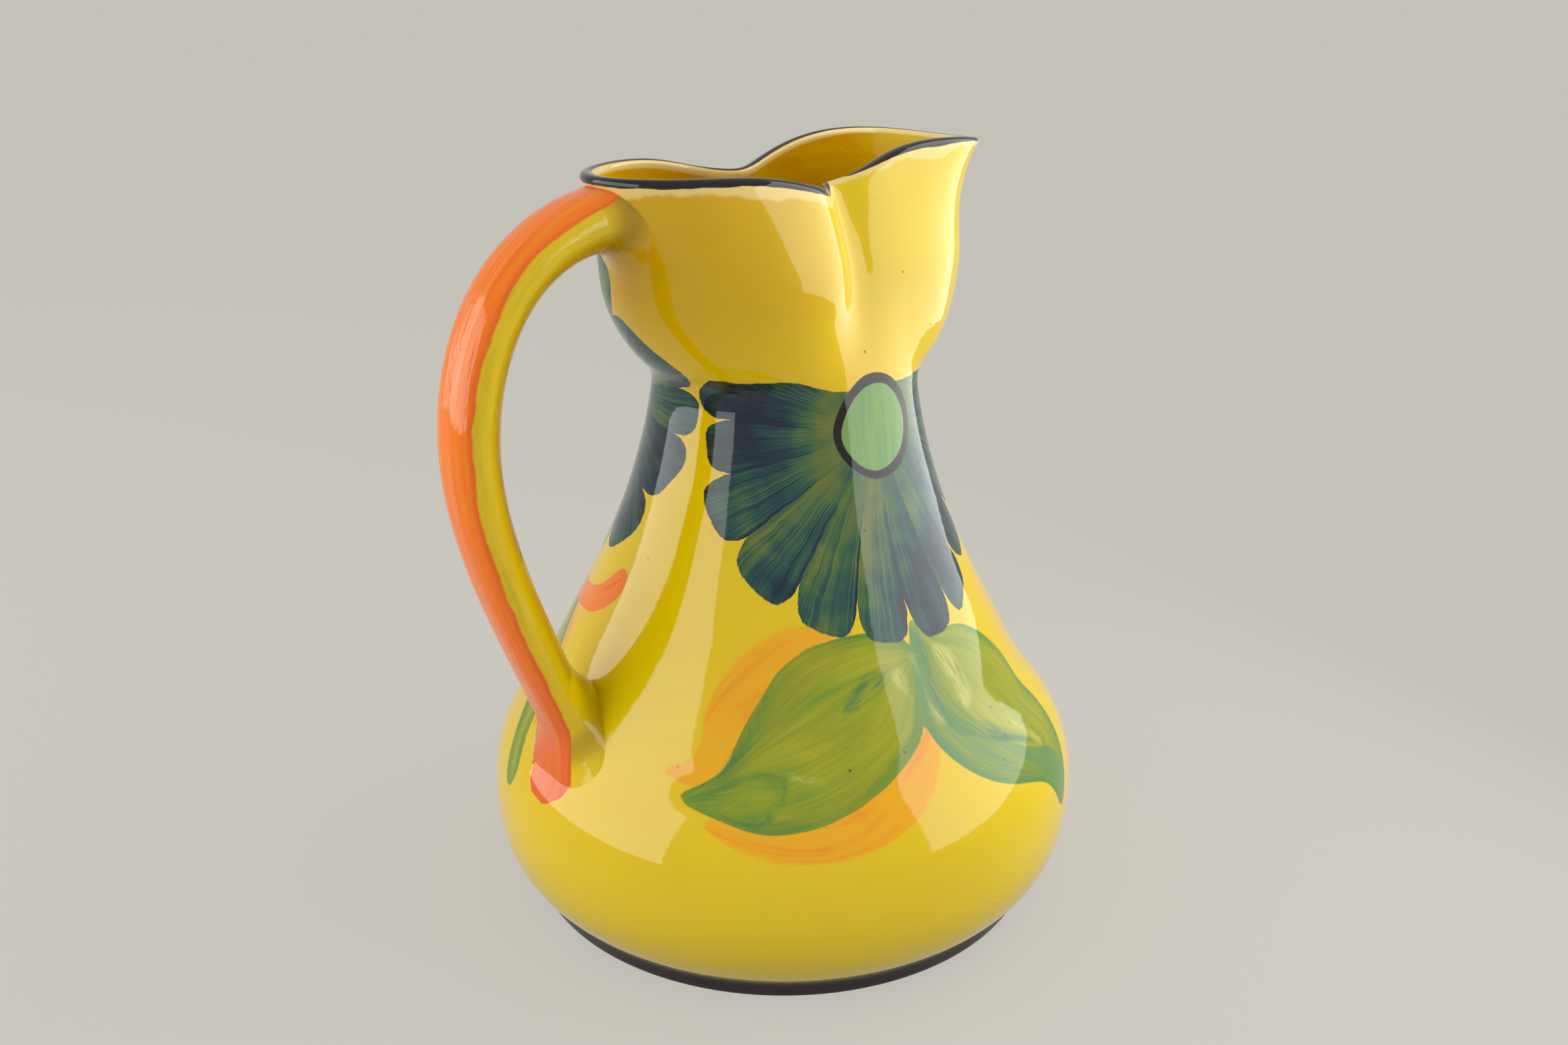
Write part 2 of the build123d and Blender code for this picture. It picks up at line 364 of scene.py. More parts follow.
def cap_faces(rows, columns):
    """Triangles that close the first and the last row, each round a middle point after all rows."""
    faces = []
    for column in range(columns):
        ahead = (column + 1) % columns
        faces.append((rows * columns, ahead, column))
    for column in range(columns):
        ahead = (column + 1) % columns
        last = (rows - 1) * columns
        faces.append((rows * columns + 1, last + column, last + ahead))
    return faces


def foot_profile():
    """Radius and height from the middle of the underside out to the belly."""
    inside = FOOT_RADIUS - FOOT_WIDTH
    recess_edge = inside - 1.5
    turn = np.radians(np.linspace(0, 90, 5))
    inner_round = np.column_stack([
        inside + FOOT_EDGE * (1 - np.cos(turn)), FOOT_EDGE * (1 - np.sin(turn)),
    ])
    outer_round = np.column_stack([
        FOOT_RADIUS - FOOT_EDGE * (1 - np.sin(turn)), FOOT_EDGE * (1 - np.cos(turn)),
    ])
    return np.vstack([
        [(radius, FOOT_RECESS) for radius in (*FLOOR_RINGS, recess_edge - 2)],
        [(recess_edge - 0.4, FOOT_RECESS - 0.03), (recess_edge + 0.1, FOOT_RECESS - 0.4)],
        [(between(recess_edge, inside, 0.5), FOOT_RECESS * 0.5)],
        inner_round,
        [(FOOT_RADIUS - FOOT_WIDTH / 2, 0.0)],
        outer_round,
        [(FOOT_RADIUS + 0.12, 2.0), (FOOT_RADIUS + 0.24, 3.5), (FOOT_RADIUS + 0.36, FOOT_HEIGHT - 0.35)],
    ])


def ease_fold(rows, middle, reach, rounds):
    """Softens the crease that the rows make near their middle row."""
    for _ in range(rounds):
        eased = rows.copy()
        for row in range(middle - reach, middle + reach + 1):
            pull = 0.5 * (1 - abs(row - middle) / (reach + 1))
            eased[row] += pull * ((rows[row - 1] + rows[row + 1]) / 2 - rows[row])
        rows = eased
    return rows


class JugForm:
    """Rows of points of the jug's skin, from the underside over the lip to the inner floor."""

    RADIUS_STEP = 0.5  # between the heights in the table of radii
    RADIUS_TURNS = 720
    COLLAR_RUN = 1.25  # length up the collar's side for each millimetre of its height
    INNER_COLLAR_SHARE = 0.7  # rows up the inside of the collar for each row up its outside
    INNER_SPACING = 1.8  # how much farther apart the rows inside the body lie

    def __init__(self, per_station, spacing):
        first = ring_columns(collar_ring(0.0), per_station)
        self.turn = np.arctan2(first[:, 1], first[:, 0])
        inner_line = inner_body_line()
        self.outer = self.collar_sheet(NECK_RADIUS, NECK_HEIGHT, per_station)
        self.inner = self.collar_sheet(*inner_line.at(1.0), per_station, COLLAR_WALL)
        self.top = np.full(len(self.turn), RIM_BACK)
        for _ in range(8):
            middle = (self.outer.at_height(self.top) + self.inner.at_height(self.top)) / 2
            self.top = rim_wave(middle[:, 0])

        foot = foot_profile()
        outside = self.spun_rows(np.vstack([foot, body_line.at(even_places(body_line, spacing))]))
        neck_row = len(outside) - 1
        collar_steps = round((RIM_BACK - NECK_HEIGHT) * self.COLLAR_RUN / spacing)
        outside = np.array(outside + self.skin_rows(self.outer, collar_steps)[1:])
        outside = ease_fold(outside, neck_row, reach=4, rounds=8)
        outside = ease_fold(outside, len(foot), reach=1, rounds=2)

        inner_steps = round(collar_steps * self.INNER_COLLAR_SHARE)
        deep = inner_line.at(even_places(inner_line, spacing * self.INNER_SPACING)[::-1])[1:]
        edge, self.floor_height = deep[-1]
        floor = [(edge - 1.5, self.floor_height - 0.1)]
        floor += [(radius, self.floor_height) for radius in FLOOR_RINGS[::-1]]
        inside = self.skin_rows(self.inner, inner_steps)[::-1] + self.spun_rows(np.vstack([deep, floor]))
        inside = ease_fold(np.array(inside), inner_steps, reach=3, rounds=6)

        lip = self.lip_rows()
        self.rows = np.concatenate([outside, lip, inside])
        self.outside_rows = len(outside)
        self.crown = len(outside) + len(lip) // 2
        heights = np.arange(NECK_HEIGHT, NECK_HEIGHT + 60, self.RADIUS_STEP)
        self.radii = np.array([self.ring_radii(self.outer.at_height(height)) for height in heights])

    def spun_rows(self, profile):
        """Round rows of points, one for each radius and height."""
        across, away = np.cos(self.turn), np.sin(self.turn)
        return [np.column_stack([r * across, r * away, np.full(len(away), z)]) for r, z in profile]

    def collar_sheet(self, radius, height, per_station, inset=0.0):
        """One skin of the collar, up from the round neck; the inset ends in a shelf on the body's wall."""
        rings = [self.spun_rows([(radius, height)])[0][:, :2]]
        rings += [ring_columns(collar_ring(level, inset), per_station) for level in COLLAR_LEVELS]
        heights = [height]
        for level in COLLAR_LEVELS:
            heights.append(NECK_HEIGHT + level + inset * (1 - min(level / COLLAR_RISE, 1.0)))
        return CollarSheet(rings, heights)

    def skin_rows(self, skin, count):
        """Rows up one skin of the collar, from the neck to where the lip starts to round."""
        last = skin.place(self.top - RIM_ROUND)
        rows = []
        for share in np.linspace(0, 1, count + 1):
            row = skin.at_place(last * share)
            row[:, 2] += share**3 * (rim_wave(row[:, 0]) - self.top)
            rows.append(row)
        return rows

    def lip_rows(self, steps=6):
        """Rows over the rounded lip, from outside to inside."""
        turn = np.radians(np.linspace(0, 90, steps + 1))[1:]
        outer_half = [(1.0, RIM_ROUND * (1 - math.cos(a)), RIM_ROUND * (1 - math.sin(a))) for a in turn]
        inner_half = [(-side, inset, drop) for side, inset, drop in outer_half[::-1]]
        rows = []
        for side, inset, drop in outer_half + [(0.0, 0.0, 0.0)] + inner_half:
            outer, inner = self.outer.at_height(self.top - drop), self.inner.at_height(self.top - drop)
            across = (outer - inner) / 2
            half = np.linalg.norm(across, axis=1, keepdims=True)
            row = (outer + inner) / 2 + side * (across / half) * np.maximum(half - inset, 0.0)
            row[:, 2] = rim_wave(row[:, 0]) - drop
            rows.append(row)
        return rows

    def ring_radii(self, ring):
        """Radii of an outline at even turns about the axis."""
        x, y = ring[:, 0], ring[:, 1]
        turns = np.linspace(0, 2 * np.pi, self.RADIUS_TURNS + 1)
        return np.interp(turns, np.arctan2(y, x), np.hypot(x, y), period=2 * np.pi)

    def radius_at(self, turn, height):
        """Radius of the outer skin at a turn about the axis and a height."""
        across = turn % (2 * np.pi) / (2 * np.pi) * self.RADIUS_TURNS
        up = np.clip((height - NECK_HEIGHT) / self.RADIUS_STEP, 0, len(self.radii) - 1.001)
        i, j = np.floor(up).astype(int), np.minimum(np.floor(across).astype(int), self.RADIUS_TURNS - 1)
        low = between(self.radii[i, j], self.radii[i, j + 1], across - j)
        high = between(self.radii[i + 1, j], self.radii[i + 1, j + 1], across - j)
        return np.where(height < NECK_HEIGHT, body_radius(height), between(low, high, up - i))


# ---------------------------------------------------------------- handle
strap_seat = collar_ring(STRAP_TOP - NECK_HEIGHT)[0][0]
strap_line = Cubic([
    (strap_seat + STRAP_BURY, STRAP_TOP + 0.7),
    (between(strap_seat, -STRAP_REACH, 0.226), STRAP_TOP - 1.3),
    (between(strap_seat, -STRAP_REACH, 0.65), STRAP_TOP - 13.0),
    (between(strap_seat, -STRAP_REACH, 0.942), GRIP_HEIGHT + 17.0),
    (-STRAP_REACH, GRIP_HEIGHT - 3.0),
    (between(-STRAP_REACH, -WAIST[0], 0.1865), between(STRAP_FOOT, GRIP_HEIGHT, 0.565)),
    (between(-STRAP_REACH, -WAIST[0], 0.56), between(STRAP_FOOT, GRIP_HEIGHT, 0.17)),
    (between(-STRAP_REACH, -WAIST[0], 0.7645), STRAP_FOOT - 2.0),
    (between(-STRAP_REACH, -WAIST[0], 0.908), STRAP_FOOT - 12.0),
])
strap_length = strap_line.length()


def strap_outline(share, above, below, beside):
    """Closed section of the strap, flatter outside and rounder towards the fingers, and grown by the slip."""
    at_top = max(0.0, 1 - share / TOP_SWELL) ** 2
    at_foot = max(0.0, (share - (1 - FOOT_SWELL)) / FOOT_SWELL) ** 2 * FOOT_GROWTH
    wide = STRAP_HALF_WIDTH + TOP_WIDENING * at_top + at_foot + beside
    thick = STRAP_THICKNESS * (1 - STRAP_TAPER * share) + TOP_THICKENING * at_top + at_foot
    out, back = 0.44 * thick + above, 0.56 * thick + below
    return mirrored([
        (out, 0.0), (0.86 * out, 0.6 * wide), (0.12 * out, wide), (-0.66 * back, 0.72 * wide), (-back, 0.0),
    ])


def growth(spread, climb, run, power=2.0):
    """How far the slip stands out from the strap, a run away from where it is thickest."""
    return spread * max(0.0, 1 - run / climb) ** power - SLIP_FEATHER


def upper_growth(share):
    """How far the upper slip stands out above, below and beside the strap."""
    past_wall = share * strap_length - STRAP_BURY
    return (
        growth(UPPER_SLIP_ABOVE, UPPER_SLIP_CLIMB, max(0.0, past_wall)),
        growth(UPPER_SLIP_BELOW, UPPER_SLIP_CLIMB, past_wall),
        growth(UPPER_SLIP_BESIDE, UPPER_SLIP_CLIMB, past_wall),
    )


def lower_growth(share):
    """How far the lower slip stands out below, towards the fingers and beside the strap."""
    from_end = (1 - share) * strap_length
    return (
        growth(LOWER_SLIP_TAIL, LOWER_SLIP_REACH, from_end),
        growth(LOWER_SLIP_CROTCH, LOWER_SLIP_CLIMB - CROTCH_RUN, max(0.0, from_end - CROTCH_RUN)),
        growth(LOWER_SLIP_BESIDE, LOWER_SLIP_REACH, from_end, power=1.5),
    )


class StrapForm:
    """Rows of points across the strap or its slip, each column followed until it meets the wall."""

    def __init__(self, jug, per_station, grown, first=0.0, last=1.0, steps=600):
        rows, places = [], []
        for share in np.linspace(first, last, steps + 1):
            ring = ring_columns(strap_outline(share, *grown(share)), per_station)
            (x, z), (run_x, run_z) = strap_line.at(share), strap_line.along(share)
            rows.append(np.column_stack([x + ring[:, 0] * run_z, ring[:, 1], z - ring[:, 0] * run_x]))
            places.append(np.column_stack([ring, np.full(len(ring), share * strap_length)]))
        self.rows, self.places = np.array(rows), np.array(places)
        x, y, z = np.moveaxis(self.rows, -1, 0)
        self.out_of_seat = np.hypot(x, y) - jug.radius_at(np.arctan2(y, x), z) + SEAT_DEPTH

    def meets_wall(self, from_top):
        """For each column, the row where it goes into the wall at that end."""
        gap = self.out_of_seat if from_top else self.out_of_seat[::-1]
        out = np.maximum(np.argmax(gap >= 0, axis=0), 1)
        column = np.arange(gap.shape[1])
        here, there = gap[out - 1, column], gap[out, column]
        rows = out - 1 + np.clip(here / (here - there), 0, 1)
        return rows if from_top else len(gap) - 1 - rows

    def between_rows(self, first, last, count):
        """Evenly shared rows from first to last, with their places on the strap."""
        column = np.arange(self.rows.shape[1])
        found = []
        for share in np.linspace(0, 1, count + 1):
            row = between(first, last, share)
            low = np.clip(np.floor(row).astype(int), 0, len(self.rows) - 2)
            rest = (row - low)[:, None]
            found.append([
                between(store[low, column], store[low + 1, column], rest)
                for store in (self.rows, self.places)
            ])
        return np.array(found).swapaxes(0, 1)


def slip_rows(jug, per_station, grown, first, last, steps, from_top, count=36):
    """Rows of a ring of slip: out along its skin to the wall and back under the strap's skin."""
    outer = StrapForm(jug, per_station, grown, first, last, steps)
    inner = StrapForm(jug, per_station, lambda share: (-SLIP_INSET,) * 3, first, last, steps)
    wall = outer.meets_wall(from_top)
    start = np.full(len(wall), float(steps if from_top else 0))
    out = outer.between_rows(start, wall, count)
    back = inner.between_rows(inner.meets_wall(from_top), start, count // 2)
    return np.concatenate([out, back], axis=1)


# ---------------------------------------------------------------- painted strokes
FAR = -20.0  # edge distance where no stroke is near


def lay_flat(turn, height, middle):
    """Flat places in millimetres on the skin, about a middle turn in degrees."""
    away = (np.asarray(turn, float) - middle + 180.0) % 360.0 - 180.0
    run = np.concatenate([[0.0], np.cumsum(np.linalg.norm(np.diff(body_points, axis=0), axis=1))])
    over = np.maximum(np.asarray(height, float) - NECK_HEIGHT, 0.0)
    climb = np.interp(height, body_points[:, 1], run) + over
    return np.stack([np.radians(away) * body_radius(height), climb], axis=-1)


def measure(points, line):
    """For each point, its distance from a line of straight pieces, its side and its place along."""
    run = np.diff(line, axis=0)
    away = points[:, None] - line[None, :-1]
    share = np.clip((away * run).sum(-1) / (run**2).sum(-1), 0, 1)
    gaps = np.linalg.norm(away - share[..., None] * run, axis=-1)
    best = gaps.argmin(1)
    pick = np.arange(len(points))
    side = np.sign(run[best, 0] * away[pick, best, 1] - run[best, 1] * away[pick, best, 0])
    return gaps[pick, best], side, (best + share[pick, best]) / len(run)


def is_inside(points, rim):
    """Whether each point lies inside a closed outline."""
    x, y = points[:, :1], points[:, 1:]
    (start_x, start_y), (run_x, run_y) = rim[:-1].T, np.diff(rim, axis=0).T
    crosses = (start_y > y) != (start_y + run_y > y)
    cross_x = start_x + (y - start_y) * run_x / np.where(run_y == 0, 1e-9, run_y)
    return (crosses & (x < cross_x)).sum(1) % 2 == 1


def stroke_field(turn, height, outline, axis):
    """Edge distance, veer from the axis and place along it, of each point of the skin."""
    middle = float(np.mean([t for t, _ in outline]))
    flat = lay_flat(turn, height, middle)
    rim = Cubic(lay_flat(*np.array(outline).T, middle), closed=True).at(np.linspace(0, 1, 161)[:-1])
    corners = lay_flat(*np.array(axis).T, middle)
    knots, shares = chord_knots(corners), np.linspace(0, 1, 60)
    spine = np.column_stack([
        np.polyval(np.polyfit(knots, corner, len(axis) - 1), shares) for corner in corners.T
    ])
    near = np.all((flat > rim.min(0) - 8) & (flat < rim.max(0) + 8), axis=1)
    points, rim = flat[near], np.vstack([rim, rim[:1]])
    edge = measure(points, rim)[0]
    edge = np.where(is_inside(points, rim), edge, -edge)
    gap, side, along = measure(points, spine)
    field = np.zeros((len(flat), 3))
    field[:, 0] = FAR
    field[near] = np.column_stack([edge, side * gap / (gap + np.maximum(edge, 0.0) + 1e-6), along])
    return field


# outlines and axes of the painted strokes, as turns about the axis in degrees and heights in millimetres
LEFT_LEAF = (
    [(-93, 93), (-98, 96), (-106, 97.5), (-114, 97), (-122, 95), (-129, 90), (-134, 82), (-138, 73),
     (-141, 66), (-148, 59.5), (-141, 56.5), (-132, 54), (-122, 55), (-112, 59), (-102, 65), (-95, 72),
     (-93, 82)],
    [(-93, 89), (-116, 80), (-146, 60)],
)
RIGHT_LEAF = (
    [(-90, 98), (-85, 94), (-77, 93), (-68, 90), (-60, 83), (-55, 74), (-54, 69), (-51, 61), (-52, 51),
     (-56, 42), (-60.5, 34), (-65, 43), (-73, 50), (-82, 55), (-89, 62), (-94, 72), (-94, 84), (-92, 94)],
    [(-91, 95), (-79, 74), (-60, 37)],
)
TIP_DAB = (
    [(-129, 67), (-135, 67), (-142, 63), (-148, 59.5), (-141, 57), (-133, 54.5), (-128, 58), (-127, 63)],
    [(-128, 63), (-137, 61.5), (-147, 59.5)],
)
FOLD_STROKE = (
    [(-90, 97), (-87.5, 90), (-88.5, 80), (-83, 71), (-75, 63), (-66, 56), (-58, 50), (-57, 44),
     (-60.5, 34), (-65, 43), (-73, 50), (-82, 55), (-89, 62), (-94, 72), (-94, 84), (-92, 94)],
    [(-90.5, 95), (-90, 76), (-80, 62), (-60, 38)],
)
UPPER_SWASH = (
    [(-108, 97), (-116, 100.5), (-126, 100.5), (-134, 97), (-140, 92), (-144, 86), (-146.5, 76),
     (-147.5, 69), (-153.5, 64.5), (-148, 62), (-138, 64), (-128, 76), (-116, 88)],
    [(-110, 97), (-132, 90), (-152, 64)],
)
LOWER_SWASH = (
    [(-93, 75), (-91, 70), (-93, 64), (-98, 57), (-106, 51), (-115, 47.5), (-126, 47.5), (-136, 50),
     (-143, 55), (-134, 58), (-118, 62), (-102, 70)],
    [(-92.5, 72), (-108, 55), (-141, 54)],
)
CRESCENT = (
    [(133, 93), (140, 88), (150, 87.5), (158, 89), (165, 90.5), (170, 93), (175, 97), (177.5, 101),
     (176, 105.5), (173, 105.5), (170, 103.5), (165, 99), (157, 95.5), (148, 94), (140, 95), (134, 97)],
    [(135, 94), (155, 92), (175, 102)],
)
BACK_LEAF = (
    [(137, 98), (144, 95), (151, 86), (157, 74), (163, 62), (168, 52), (169.5, 46), (167.5, 41.5),
     (164, 46), (158, 56), (150, 64), (141, 72), (136, 82), (135, 92)],
    [(138, 95), (152, 72), (168, 43)],
)
SIDE_SWASH = (
    [(150, 94), (156, 86), (160, 77), (164, 68), (168, 58), (162, 60), (154, 70), (147, 82)],
    [(150, 90), (158, 76), (167, 60)],
)
# touches of darker paint over the leaves
FOLD_SHADE = (
    [(-90, 94), (-87, 92), (-86, 84), (-83, 76), (-77, 69), (-70, 63), (-64, 57.5), (-61.5, 53.5),
     (-66, 56), (-74, 60.5), (-82, 65), (-88, 70), (-91, 78), (-91.5, 87)],
    [(-89, 91), (-86, 74), (-63, 55.5)],
)
MARGIN_TOUCH = (
    [(-129, 89.5), (-134, 81.5), (-138, 73), (-140.8, 66.5), (-140, 64.5), (-138, 68), (-134.5, 75),
     (-131, 83)],
    [(-131, 87), (-136, 76), (-140, 66)],
)
LEAF_TOUCH = (
    [(-101, 88), (-106, 88.5), (-112, 85), (-115, 79), (-110, 79.5), (-104, 82)],
    [(-102.5, 86.5), (-108, 83.5), (-114, 80)],
)
VEIN_TOUCH = (
    [(-109.5, 73.3), (-114, 72.2), (-118.5, 69.3), (-114, 70.4)],
    [(-110.5, 72.8), (-114, 71.3), (-117.5, 69.6)],
)
DAB_END = (
    [(-130, 66.8), (-127.5, 66.5), (-125.8, 63), (-126.7, 60.2), (-129.4, 59.8), (-128, 63)],
    [(-129, 66), (-127, 63.3), (-128.5, 60.3)],
)
DAB_FOOT = (
    [(-131, 60), (-128.8, 57.5), (-129.8, 55.2), (-134, 54.4), (-139, 55), (-133.5, 56.6)],
    [(-130.2, 59), (-130.5, 56.5), (-137, 55.2)],
)
# and of paler paint
STEM_TOUCH = (
    [(-99.5, 89), (-97, 88.5), (-95.5, 84), (-95.5, 78), (-98, 81), (-101, 86)],
    [(-98.5, 88), (-97, 84), (-96, 79.5)],
)
LEAF_GAP = (
    [(-94.3, 91), (-93.3, 85), (-92.4, 78), (-89.8, 70.6), (-88.2, 71), (-90, 78), (-91.3, 85),
     (-92.3, 91)],
    [(-93, 91), (-91.8, 80), (-89, 71.5)],
)
TIP_GAP = (
    [(-69.5, 66.5), (-66, 63.4), (-63.2, 59.8), (-60.9, 54), (-62.5, 53.2), (-65.8, 58), (-68.7, 62.5)],
    [(-68.3, 64.5), (-65, 60), (-62, 54.5)],
)
BRIGHT_TOUCH = (
    [(-127.5, 68), (-124, 66.6), (-120, 66), (-118.5, 64.6), (-124, 63.8), (-126.4, 65)],
    [(-126.5, 66.3), (-123, 65.2), (-119.5, 65)],
)
LOBE_PATCH = (
    [(-86, 91.5), (-80, 88.5), (-77, 82), (-77.5, 74), (-80.5, 71), (-83.5, 78), (-85.5, 85)],
    [(-84, 90), (-81, 81), (-80, 73)],
)
BACK_SHIFT = 211.5  # degrees from the front flower to the back one
BEAK_SHIFT = 116.0  # and to the leaves under the beak

# paint name: its strokes, each with the turns by which it is moved round the jug
STROKES = {
    "swash": (
        (UPPER_SWASH, 0.0), (LOWER_SWASH, 0.0), (UPPER_SWASH, BACK_SHIFT), (LOWER_SWASH, BACK_SHIFT),
        (SIDE_SWASH, 0.0), (UPPER_SWASH, BEAK_SHIFT), (LOWER_SWASH, BEAK_SHIFT),
    ),
    "leaf": (
        (LEFT_LEAF, 0.0), (RIGHT_LEAF, 0.0), (LEFT_LEAF, BACK_SHIFT), (BACK_LEAF, 0.0),
        (LEFT_LEAF, BEAK_SHIFT), (RIGHT_LEAF, BEAK_SHIFT),
    ),
    "tip_dab": ((TIP_DAB, 0.0), (TIP_DAB, BACK_SHIFT), (TIP_DAB, BEAK_SHIFT)),
    "fold_stroke": ((FOLD_STROKE, 0.0), (FOLD_STROKE, BEAK_SHIFT)),
    "dark_touch": (
        (FOLD_SHADE, 0.0), (MARGIN_TOUCH, 0.0), (LEAF_TOUCH, 0.0), (VEIN_TOUCH, 0.0), (DAB_END, 0.0),
        (DAB_FOOT, 0.0), (FOLD_SHADE, BEAK_SHIFT), (DAB_END, BEAK_SHIFT), (MARGIN_TOUCH, BACK_SHIFT),
        (LEAF_TOUCH, BACK_SHIFT),
    ),
    "pale_touch": (
        (STEM_TOUCH, 0.0), (LEAF_GAP, 0.0), (TIP_GAP, 0.0), (BRIGHT_TOUCH, 0.0), (LOBE_PATCH, 0.0),
        (STEM_TOUCH, BACK_SHIFT), (LEAF_GAP, BEAK_SHIFT), (LOBE_PATCH, BEAK_SHIFT),
    ),
    "crescent": ((CRESCENT, 0.0), (CRESCENT, -100.0)),
}


def paint_fields(points, on_skin):
    """Stroke fields of every paint, for the points on the outer skin."""
    turn = np.degrees(np.arctan2(points[:, 1], points[:, 0]))
    fields = {}
    for name, strokes in STROKES.items():
        fields[name] = np.zeros((len(points), 3))
        fields[name][:, 0] = FAR
        best = fields[name][on_skin]
        for number, (lines, shift) in enumerate(strokes):
            outline, axis = ([(t + shift, z) for t, z in line] for line in lines)
            found = stroke_field(turn[on_skin], points[on_skin, 2], outline, axis)
            found[:, 2] += 2.0 * number  # so that no two strokes share their bristle marks
            better = found[:, 0] > best[:, 0]
            best[better] = found[better]
        fields[name][on_skin] = best
    return fields


# ---------------------------------------------------------------- wiring of materials
SOCKET_KINDS = {"VALUE": "NodeSocketFloat", "VECTOR": "NodeSocketVector"}


class Signal:
    """What a node gives out; arithmetic on it adds Math nodes."""

    def __init__(self, wire, socket):
        self.wire = wire
        self.socket = socket

    def __add__(self, other):
        return self.wire.math("ADD", self, other)

    def __sub__(self, other):
        return self.wire.math("SUBTRACT", self, other)

    def __rsub__(self, other):
        return self.wire.math("SUBTRACT", other, self)

    def __mul__(self, other):
        return self.wire.math("MULTIPLY", self, other)

    def __truediv__(self, other):
        return self.wire.math("DIVIDE", self, other)

    def rise(self, low, high):
        """0 below low, 1 above high, eased between."""
        ends = {"Value": self, "From Min": low, "From Max": high}
        return self.wire.value("MapRange", ends, interpolation_type="SMOOTHSTEP")

    def fall(self, low, high):
        """1 below low, 0 above high, eased between."""
        return 1.0 - self.rise(low, high)

    def centred(self, spread):
        """A value between 0 and 1, moved to lie evenly about 0 over the spread."""
        return (self - 0.5) * spread


class Wiring:
    """Adds and joins the nodes of one material, world or node group."""

    def __init__(self, tree):
        self.tree = tree

    def feed(self, socket, value):
        """Joins a signal to a socket, or sets a constant on it."""
        if isinstance(value, Signal):
            self.tree.links.new(value.socket, socket)
        else:
            socket.default_value = (*value, 1.0) if socket.type == "RGBA" else value

    def node(self, kind, inputs, **settings):
        """Adds a node with these settings, and feeds its inputs by name or number."""
        node = self.tree.nodes.new(f"ShaderNode{kind}")
        for name, value in settings.items():
            setattr(node, name, value)
        for key, value in inputs.items():
            self.feed(node.inputs[key], value)
        return node

    def value(self, kind, inputs, output=0, **settings):
        """The signal that a new node gives out."""
        return Signal(self, self.node(kind, inputs, **settings).outputs[output])

    def signals(self, node):
        """All that a node gives out, by name."""
        return {socket.name: Signal(self, socket) for socket in node.outputs}

    def math(self, operation, *values, clamp=False):
        return self.value("Math", dict(enumerate(values)), operation=operation, use_clamp=clamp)

    def length(self, x, y):
        return self.math("SQRT", x * x + y * y)

    def vector(self, x, y, z):
        return self.value("CombineXYZ", {"X": x, "Y": y, "Z": z})

    def split(self, vector):
        """The three parts of a vector."""
        return list(self.signals(self.node("SeparateXYZ", {"Vector": vector})).values())

    def split_colour(self, colour):
        """The three parts of a colour."""
        return list(self.signals(self.node("SeparateColor", {"Color": colour})).values())

    def field(self, name, output="Vector"):
        """A field that is stored on the points of the piece."""
        return self.value("Attribute", {}, output, attribute_name=name)

    def noise(self, place, scale=1.0, detail=2.0, roughness=0.5):
        inputs = {"Vector": place, "Scale": scale, "Detail": detail, "Roughness": roughness}
        return self.value("TexNoise", inputs)

    def lay(self, colour, *coats):
        """A colour with coats, each a share and a colour, laid over it in order."""
        for share, coat in coats:
            colour = self.value("Mix", {0: share, 6: colour, 7: coat}, 2, data_type="RGBA")
        return colour

    def ramp(self, place, stops, interpolation="LINEAR"):
        """The colour at a place between stops, each a place and a colour."""
        node = self.node("ValToRGB", {"Fac": place})
        node.color_ramp.interpolation = interpolation
        elements = node.color_ramp.elements
        while len(elements) < len(stops):
            elements.new(1.0)
        for element, (at, _) in zip(elements, stops):
            element.position = at
        for element, (_, colour) in zip(elements, stops):
            element.color = (*colour, 1.0)
        return Signal(self, node.outputs["Color"])

    def group(self, tree, **values):
        """Places a shared node group, and gives what it puts out by name."""
        inputs = {name.replace("_", " "): value for name, value in values.items()}
        return self.signals(self.node("Group", inputs, node_tree=tree))


def open_group(name, inputs):
    """A new shader node group's wiring and inputs; an input whose default is None is a vector."""
    tree = bpy.data.node_groups.new(name, "ShaderNodeTree")
    for label, default in inputs.items():
        kind = SOCKET_KINDS["VECTOR" if default is None else "VALUE"]
        socket = tree.interface.new_socket(label, in_out="INPUT", socket_type=kind)
        if default is not None:
            socket.default_value = default
    wire = Wiring(tree)
    return wire, wire.signals(tree.nodes.new("NodeGroupInput"))


def close_group(wire, **results):
    """Gives a group its outputs, and joins each to its signal."""
    for name, signal in results.items():
        kind = SOCKET_KINDS[signal.socket.type]
        wire.tree.interface.new_socket(name.replace("_", " "), in_out="OUTPUT", socket_type=kind)
    leave = wire.tree.nodes.new("NodeGroupOutput")
    for socket, signal in zip(leave.inputs, results.values()):
        wire.feed(socket, signal)
    return wire.tree


def place_group():
    """Turn about the axis in degrees, with radius and height in millimetres."""
    wire, _ = open_group("Jug Place", {})
    metres = wire.value("TexCoord", {}, "Object")
    place = wire.value("VectorMath", {"Vector": metres, "Scale": 1 / MM}, operation="SCALE")
    x, y, z = wire.split(place)
    turn = wire.math("DEGREES", wire.math("ARCTAN2", y, x))
    return close_group(wire, Turn=turn, Radius=wire.length(x, y), Height=z, Place=place)


